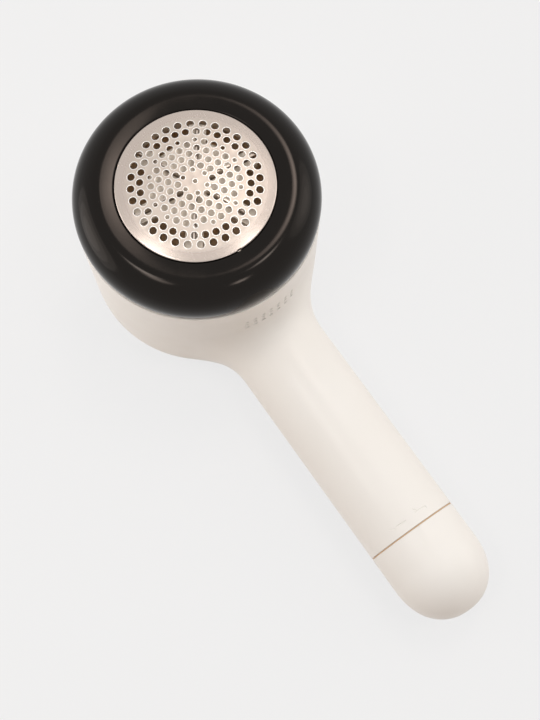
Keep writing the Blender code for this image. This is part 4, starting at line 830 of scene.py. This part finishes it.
def foil_plan(holes, rim_radius):
    """The foil seen from above, as points and as triangles that leave the holes open."""
    points = []
    edges = []

    def add_circle(x, y, radius, sides, fixed=True):
        first = len(points)
        for k in range(sides):
            dx, dy = polar(radius, 360.0 * k / sides)
            points.append(Vector((x + dx, y + dy)))
            if fixed:
                edges.append((first + k, first + (k + 1) % sides))

    for x, y, radius in holes:
        add_circle(x, y, radius + HOLE_LIP, HOLE_SIDES)
    add_circle(0, 0, rim_radius, FOIL_SIDES)
    add_circle(0, 0, rim_radius - 0.3, FOIL_SIDES, fixed=False)
    for radius, sides in SUPPORT_CIRCLES:
        add_circle(0, 0, radius, sides, fixed=False)
    flat, _, triangles, _, _, _ = delaunay_2d_cdt(points, edges, [], 0, 1e-7)

    spots = np.array([tuple(p) for p in flat])
    faces = np.array([tuple(t) for t in triangles if len(t) == 3])
    middles = spots[faces].mean(axis=1)
    apart = np.linalg.norm(middles[:, None, :] - holes[None, :, :2], axis=2)
    reach = (holes[:, 2] + HOLE_LIP) * math.cos(math.pi / HOLE_SIDES)
    return spots, faces[(apart > reach[None, :]).all(axis=1)].tolist()


def open_edges(triangles, spots, rim_radius):
    """The plan's open edges from point to point: those of the rim and those of the holes."""
    used = set()
    for a, b, c in triangles:
        used.update(((a, b), (b, c), (c, a)))
    rim = {}
    walls = {}
    for a, b in used:
        if (b, a) in used:
            continue
        if math.hypot(*spots[a]) > rim_radius - 0.05:
            rim[a] = b
        else:
            walls[a] = b
    return rim, walls


def add_hole_walls(bm, walls, spots, holes, top, bottom):
    """A raised lip, a rounded edge and a wall round every hole."""
    lips = {}
    for a in walls:
        nearest = holes[np.argmin(np.linalg.norm(holes[:, :2] - spots[a], axis=1))]
        centre = nearest[:2]
        radius = nearest[2]
        outward = (spots[a] - centre) / (radius + HOLE_LIP)
        lips[a] = [top[a]]
        for offset, rise in RIM_PROFILE:
            x, y = centre + outward * (radius + offset)
            lips[a].append(bm.verts.new((x, y, dome_height(math.hypot(x, y)) + rise)))
        lips[a].append(bottom[a])
    for a, b in walls.items():
        for k in range(len(lips[a]) - 1):
            bm.faces.new((lips[a][k], lips[a][k + 1], lips[b][k + 1], lips[b][k]))


def add_skirt(bm, rim, spots, top, bottom):
    """The skirt and flange that join the dome's upper and lower rim."""
    edge_height = dome_height(FOIL_RADIUS)
    flange_top = FOIL_SKIRT_BOTTOM + SHEET
    section = [(FOIL_RADIUS - 0.07, edge_height - 0.05), (FOIL_RADIUS, edge_height - 0.22),
               (FOIL_RADIUS, flange_top + 0.2), (FOIL_RADIUS + 0.2, flange_top),
               (FOIL_FLANGE_RADIUS, flange_top), (FOIL_FLANGE_RADIUS, FOIL_SKIRT_BOTTOM),
               (FOIL_RADIUS - SHEET, FOIL_SKIRT_BOTTOM)]
    order = [next(iter(rim))]
    while rim[order[-1]] != order[0]:
        order.append(rim[order[-1]])
    loops = [[top[i] for i in order]]
    for radius, height in section:
        loop = []
        for i in order:
            x, y = spots[i] / np.linalg.norm(spots[i]) * radius
            loop.append(bm.verts.new((x, y, height)))
        loops.append(loop)
    loops.append([bottom[i] for i in order])
    for before, after in zip(loops, loops[1:]):
        for k in range(len(order)):
            following = (k + 1) % len(order)
            bm.faces.new((before[k], before[following], after[following], after[k]))


def mark_polish_and_painted_light(thing, holes):
    """Store where the foil is smoother and painted bright: a painted highlight round its holes, and an
    underside painted lighter, which lights the inside of the head more.
    """
    polish_and_painted_light = thing.data.attributes.new("polish_and_painted_light", "FLOAT", "POINT")
    for vert, value in zip(thing.data.vertices, polish_and_painted_light.data):
        spot = np.array(vert.co[:2]) / MM
        apart = np.linalg.norm(holes[:, :2] - spot, axis=1) - holes[:, 2]
        reach = float(np.linalg.norm(spot))
        under = reach < FOIL_RADIUS - SHEET + 0.01 and vert.co.z / MM < dome_height(reach) - 0.1
        value.value = 1.0 if under or apart.min() < RIM_HIGHLIGHT_WIDTH else 0.0


def foil():
    """Perforated dome with rounded hole edges, a skirt and a flange."""
    holes = foil_holes()
    rim_radius = FOIL_RADIUS - FOIL_EDGE
    spots, triangles = foil_plan(holes, rim_radius)
    bm = bmesh.new()
    top = []
    bottom = []
    for x, y in spots:
        radius = math.hypot(x, y)
        share = (FOIL_RADIUS - SHEET) / rim_radius if radius > rim_radius - 0.05 else 1.0
        top.append(bm.verts.new((x, y, dome_height(radius))))
        bottom.append(bm.verts.new((x * share, y * share, dome_height(radius) - SHEET)))
    for a, b, c in triangles:
        bm.faces.new((top[a], top[b], top[c]))
        bm.faces.new((bottom[c], bottom[b], bottom[a]))
    rim, walls = open_edges(triangles, spots, rim_radius)
    add_hole_walls(bm, walls, spots, holes, top, bottom)
    add_skirt(bm, rim, spots, top, bottom)
    bmesh.ops.delete(bm, geom=[v for v in bm.verts if not v.link_faces], context="VERTS")
    thing = make_object("foil_fine", bm)
    bm = bmesh.new()
    for turn in NOTCH_DEGREES:
        add_box(bm, *NOTCH_BOX, turn)
    carve(thing, make_object("rim_notches", bm))
    finish_piece(thing, "foil_steel", "foil_unit", "foil", smooth_deg=60.0)
    mark_polish_and_painted_light(thing, holes)


def head_ring():
    """Glossy ring: a large outer rounding, a crest, a nearly flat rim, and lugs inside."""
    round_centre = DRUM_RADIUS - RING_ROUND
    crest_deg = math.degrees(math.acos((RING_CREST_RADIUS - round_centre) / RING_ROUND))
    bottom_deg = math.degrees(math.asin((RING_BOTTOM - RING_ROUND_HEIGHT) / RING_ROUND))
    crest = RING_ROUND_HEIGHT + RING_ROUND * math.sin(math.radians(crest_deg))
    sweep = arc(round_centre, RING_ROUND_HEIGHT, RING_ROUND, bottom_deg, crest_deg - RING_CREST_SHARE_DEG, 44)
    profile = [(*sweep[0], 0.4)] + [(r, h, 0) for r, h in sweep[1:-1]]
    bend_width = 1.3
    lip_width = RING_CREST_RADIUS - RING_OPENING_RADIUS
    dish = (RING_CREST_RADIUS - bend_width, crest - RING_LIP_DROP * bend_width / lip_width)
    profile += bend(sweep[-1], (RING_CREST_RADIUS + 0.12, crest), dish, 8)
    rib_bottom = FOIL_SKIRT_BOTTOM + FOIL_THICKNESS + GAP
    rib = RING_OPENING_RADIUS + 2.4
    profile += [(RING_OPENING_RADIUS, crest - RING_LIP_DROP, 0.4), (RING_OPENING_RADIUS, rib_bottom, 0.2)]
    profile += [(rib, rib_bottom, 0.2)]
    inner = math.hypot(30.1 - round_centre, 59.8 - RING_ROUND_HEIGHT) + GAP
    profile += [(r, h, 0) for r, h in arc(round_centre, RING_ROUND_HEIGHT, inner, 82, 20, 12)]
    profile += [(RING_BORE, RING_ROUND_HEIGHT, 0.3), (RING_BORE, RING_BOTTOM, 0.3)]
    ring = turned_object("head_ring_fine", soften(profile, 0.3, 6), 256)
    bm = bmesh.new()
    add_sectors(bm, RING_LUGS, (30.9, 33.33, 51.2, 52.8), -LUG_HALF_DEG, LUG_HALF_DEG, steps=6)
    carve(ring, make_object("ring_lugs", bm), "UNION")
    finish_piece(ring, "black_gloss", "ring", "head_ring", smooth_deg=30.0)


def foil_frame():
    """Grey ring that carries the foil, with a skirt that stands in the drum."""
    rim = 21.4
    rim_top = dome_height(rim) - FOIL_THICKNESS - 0.76
    profile = [(19.8, 57.8), (28.7, 57.8), (28.7, 53.9), (30.1, 53.9), (30.1, 59.8), (rim, 59.8)]
    profile += [(rim, rim_top), (19.8, rim_top)]
    turned_piece("foil_frame_fine", soften(profile, 0.3), "grey_plastic", "foil_unit", "foil_frame")


def lint_cup():
    """Cup under the blades, open in the middle for the shaft."""
    profile = [(5.1, 44.0), (30.3, 44.0), (30.3, 53.6), (28.9, 53.6), (28.9, 45.2, 2.0), (6.3, 45.2, 1.0)]
    profile += [(6.3, 50.5), (5.1, 50.5)]
    turned_piece("lint_cup_fine", soften(profile, 0.3), "brown_plastic", "housing", "lint_cup")


# Handle

def cap_radius(x):
    """Radius of the cap's outside."""
    share = (x - CAP_STRAIGHT_END) / CAP_ROUND_LENGTH
    if share <= 0:
        return HANDLE_RADIUS
    return HANDLE_RADIUS * (1 - min(share, 1) ** CAP_ROUND_POWER) ** (1 / CAP_ROUND_POWER)


def end_cap():
    """Twist-off cap with its spigot, lugs, seal groove, hollow and the small index mark."""
    profile = [(CAP_BORE, SPIGOT_START), (SPIGOT_RADIUS, SPIGOT_START), (SPIGOT_RADIUS, 104.6, 0.1)]
    profile += [(11.0, 104.6, 0.1), (11.0, 106.0, 0.1), (SPIGOT_RADIUS, 106.0, 0.1)]
    profile += [(SPIGOT_RADIUS, CAP_START, 0.15), (HANDLE_RADIUS, CAP_START, SEAM_EDGE)]
    for i in range(CAP_STEPS):
        x = CAP_STRAIGHT_END + CAP_ROUND_LENGTH * math.sin(math.pi / 2 * i / CAP_STEPS)
        profile.append((cap_radius(x), x, 0))
    profile += [(0, CAP_END), (0, 133.2), (3.5, 133.2, 0), (7.0, 130.7, 0), (7.0, 127.3), (CAP_BORE, 127.3)]
    cap = turned_object("end_cap_fine", soften(profile, 0.25), 160, on_x)
    bm = bmesh.new()
    lug = (SPIGOT_RADIUS - 0.5, 12.9, 101.8, 103.4)
    add_sectors(bm, CAP_LUGS, lug, -LUG_HALF_DEG, LUG_HALF_DEG, on_x, steps=6)
    carve(cap, make_object("cap_lugs", bm), "UNION")
    carve(cap, box_tool("cap_mark", CAP_MARK_BOX))
    finish_piece(cap, "cream_plastic", "cap", "end_cap")


def cap_seals():
    """The tan gasket put in the seam to give the gap its warm shade, a painted shade, and the O-ring in the
    spigot's groove.
    """
    low = SEAM_X + 0.05
    high = CAP_START - 0.05
    profile = [(12.2, low), (14.0, low), (14.0, high), (12.2, high)]
    finish_piece(turned_object("seam_shade_gasket", profile, 128, on_x), "seal_rubber", "cap")
    seal = arc(11.6, 105.3, 0.3, 0, 345, 23)
    turned_piece("cap_seal_fine", seal, "seal_rubber", "cap", "cap_seal", 96, on_x)


def batteries():
    """Two cells, and the tube that centres them, notched for the return strip."""
    for i in range(2):
        start = CELL_START + CELL_PITCH * i
        end = start + 50.5
        dent = start + 50.3
        profile = [(0, start), (2.75, start, 0.4), (2.75, start + 0.8, 0.2), (5.0, start + 0.8, 0.1)]
        profile += [(5.2, start + 1.1, 0.1), (6.2, start + 1.0, 0.2), (CELL_RADIUS, start + 1.3, 0.8)]
        profile += [(CELL_RADIUS, end, 0.7), (5.6, end, 0.2), (5.4, dent, 0.1), (0, dent)]
        turned_piece(f"battery_{i + 1}_fine", soften(profile, 0.2, 3), "battery_jacket", "housing",
                     f"battery_{i + 1}", 72, on_x)
    rim = BORE_RADIUS - GAP
    profile = [(2.2, 15.0), (TUBE_OUTSIDE, 15.0)]
    for low, high in ((30.0, 32.5), (96.0, 98.5)):
        profile += [(TUBE_OUTSIDE, low), (rim, low), (rim, high), (TUBE_OUTSIDE, high)]
    profile += [(TUBE_OUTSIDE, 106.0), (TUBE_INSIDE, 106.0), (TUBE_INSIDE, 16.2), (2.2, 16.2)]
    liner = turned_object("battery_tube_fine", soften(profile, 0.25, 3), 72, on_x)
    notch = ((29.7, -1.6, 0.0), (108.0, 1.6, AXIS_Z - TUBE_OUTSIDE - GAP / 2))
    carve(liner, box_tool("strip_notch", notch))
    finish_piece(liner, "grey_plastic", "housing", "battery_tube")


def springs():
    """The cap's contact plate with its conical spring, and the spring under the blades."""
    profile = [(0, 126.5), (4.2, 126.5), (4.5, 126.65), (9.6, 126.5), (9.6, 127.0), (0, 127.0)]
    turned_piece("cap_contact_fine", soften(profile, 0.12, 3), "spring_steel", "cap_core", "cap_contact",
                 72, on_x)
    coil_piece("battery_spring_fine", 4.0, 119.2, 125.8, 3.5, 5.5, 0.4, on_x, "cap_core", "battery_spring")
    coil_piece("blade_spring_fine", 3.5, 47.4, 51.4, 3.9, 3.9, 0.3, on_z, "rotor", "blade_spring")


def coil_piece(name, turns, low, high, radius_low, radius_high, wire, place, body, node):
    """A round wire wound about one of the two axes."""
    curve = bpy.data.curves.new(name, "CURVE")
    curve.dimensions = "3D"
    curve.bevel_depth = wire * MM
    curve.bevel_resolution = 3
    curve.use_fill_caps = True
    count = round(turns * 36)
    spline = curve.splines.new("POLY")
    spline.points.add(count)
    for i, point in enumerate(spline.points):
        share = i / count
        radius = radius_low + (radius_high - radius_low) * share
        spot = place(radius, 2 * math.pi * turns * share, low + (high - low) * share)
        point.co = (*(spot * MM), 1.0)
    thing = new_object(name, curve)
    made = bpy.data.meshes.new_from_object(thing.evaluated_get(bpy.context.evaluated_depsgraph_get()))
    bpy.data.objects.remove(thing, do_unlink=True)
    finish_piece(new_object(name, made), "spring_steel", body, node)


def switch_knob():
    """Thumb slide with rounded grip ribs."""
    knob = box_tool("switch_knob_fine", KNOB_BOX)
    carve(knob, box_tool("knob_flange", KNOB_FLANGE_BOX), "UNION")
    bm = bmesh.new()
    for i in range(KNOB_GROOVES):
        x = KNOB_START + KNOB_GROOVE_STEP * (i + 1)
        add_box(bm, (x - KNOB_GROOVE_HALF, -7.0, -1.2), (x + KNOB_GROOVE_HALF, 7.0, 1.1))
    carve(knob, make_object("knob_grooves", bm))
    add_bevel(knob, 0.14, 3)
    settle(knob)
    finish_piece(knob, "cream_plastic", "switch", "switch_knob", smooth_deg=50.0)


def add_bevel(thing, width_mm, segments=2):
    """Round the sharp edges of a piece."""
    modifier = thing.modifiers.new("soft_edges", "BEVEL")
    modifier.width = width_mm * MM
    modifier.segments = segments
    modifier.limit_method = "ANGLE"
    modifier.angle_limit = math.radians(40)


def dress_nodes():
    """Better materials, and softened edges where they show, on the CAD nodes that stay."""
    bevels = {"blade_holder": 0.12, "drive_hub": 0.12, "motor_mount": 0.15, "motor_can": 0.15,
              "switch_contact": 0.05, "motor_end_bell": 0.2}
    for name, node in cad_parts.items():
        if not node.data.materials:
            continue
        for slot in node.material_slots:
            slot.material = LOOKS[slot.material.name.split(".")[0]]
        if name in bevels:
            add_bevel(node, bevels[name])


# Studio

def softbox(name, azimuth, elevation, width, height, radiance, colour, reach=1.0):
    """Nested lamps, so that their mirror image fades out at its edge.

    Width and height hold at a distance of 1 m, and grow or shrink with the reach.
    """
    turn = math.radians(azimuth)
    rise = math.radians(elevation)
    out = Vector((math.cos(turn) * math.cos(rise), math.sin(turn) * math.cos(rise), math.sin(rise)))
    for i, share in enumerate(LAMP_NESTING):
        light = bpy.data.lights.new(f"{name}_{i + 1}", "AREA")
        light.shape = "ELLIPSE"
        light.size = width * share * reach
        light.size_y = height * share * reach
        power = radiance / len(LAMP_NESTING)
        light.energy = power * math.pi * light.size * light.size_y * math.pi / 4
        light.color = colour
        thing = new_object(f"{name}_{i + 1}", light)
        thing.location = Vector((LAMP_AIM * reach, 0, LAMP_AIM)) + out * (reach + LAMP_STEP * i)
        thing.rotation_euler = out.to_track_quat("Z", "Y").to_euler()


def sees_backdrop(tree):
    """1 for the rays that see the backdrop itself: from the camera, through glass and in a mirror."""
    path = add_node(tree, "LightPath").outputs
    direct = combine_math(tree, "MAXIMUM", path["Is Camera Ray"], path["Is Transmission Ray"])
    return combine_math(tree, "MAXIMUM", direct, path["Is Glossy Ray"])


def smooth_range(tree, source, limits):
    """0 to 1 between two limits, with soft ends."""
    made = add_node(tree, "MapRange", Value=source, From_Min=limits[0], From_Max=limits[1])
    made.interpolation_type = "SMOOTHSTEP"
    return made.outputs["Result"]


def sky_colour(tree):
    """One tone overhead, one towards the horizon, and a third away from the bright side."""
    place = add_node(tree, "TexCoord").outputs["Generated"]
    bright = math.radians(SKY_BRIGHT_DEG)
    toward = add_node(tree, "VectorMath")
    toward.operation = "DOT_PRODUCT"
    put(tree, toward.inputs[0], place)
    put(tree, toward.inputs[1], (math.cos(bright), math.sin(bright), 0.0))
    tone = mix_colour(tree, smooth_range(tree, axis_of(tree, place, "Z"), SKY_RISE), SKY_LOW, SKY_TOP)
    return mix_colour(tree, smooth_range(tree, toward.outputs["Value"], SKY_FADE), SKY_SHADE, tone)


def join_shaders(tree, output_kind, factor, first, second):
    """Mix two shaders and send them to a new output."""
    mix = add_node(tree, "MixShader")
    for socket, value in zip(mix.inputs, (factor, first.outputs[0], second.outputs[0])):
        put(tree, socket, value)
    add_node(tree, output_kind, Surface=mix.outputs[0])


def clear_tree(owner):
    """The empty node tree of a world or material."""
    owner.use_nodes = True
    owner.node_tree.nodes.clear()
    return owner.node_tree


def make_world():
    """A soft sky that lights the object, and the pale backdrop."""
    world = bpy.data.worlds.new("studio_world")
    tree = clear_tree(world)
    light = add_node(tree, "Background", Color=sky_colour(tree), Strength=SKY_POWER)
    shown = add_node(tree, "Background", Color=(*BACKDROP, 1.0))
    join_shaders(tree, "OutputWorld", sees_backdrop(tree), light, shown)
    bpy.context.scene.world = world


def make_floor():
    """A pale floor that keeps the object's shadow."""
    bm = bmesh.new()
    bmesh.ops.create_grid(bm, x_segments=8, y_segments=8, size=FLOOR_HALF)
    bmesh.ops.translate(bm, verts=bm.verts, vec=(0, 0, FLOOR_DROP))
    floor = make_object("floor", bm)
    paint = bpy.data.materials.new("floor_paint")
    tree = clear_tree(paint)
    matt = add_node(tree, "BsdfDiffuse", Color=(*FLOOR_PAINT, 1.0))
    glow = add_node(tree, "Emission", Color=(*FLOOR_GLOW, 1.0))
    share = combine_math(tree, "MULTIPLY", sees_backdrop(tree), FLOOR_GLOW_SHARE)
    join_shaders(tree, "OutputMaterial", share, matt, glow)
    floor.data.materials.append(paint)


def make_camera():
    """The camera as fitted to the photograph."""
    camera = bpy.data.cameras.new("camera")
    camera.sensor_fit = "VERTICAL"
    camera.sensor_height = 36.0
    camera.lens = 62.73
    thing = new_object("camera", camera)
    turn = Matrix((CAMERA_RIGHT, CAMERA_UP, CAMERA_BACK)).transposed()
    thing.matrix_world = Matrix.Translation(CAMERA_PLACE) @ turn.to_4x4()
    bpy.context.scene.camera = thing


def studio():
    """Pale world and floor, soft lamps and the camera."""
    make_world()
    make_floor()
    for lamp in LAMPS:
        softbox(*lamp)
    make_camera()
    bpy.context.scene.view_settings.view_transform = "Standard"


clear_start_up()
LOOKS = make_looks()
studio()
dress_nodes()
body_shell()
head_ring()
foil()
foil_frame()
lint_cup()
end_cap()
cap_seals()
batteries()
springs()
switch_knob()
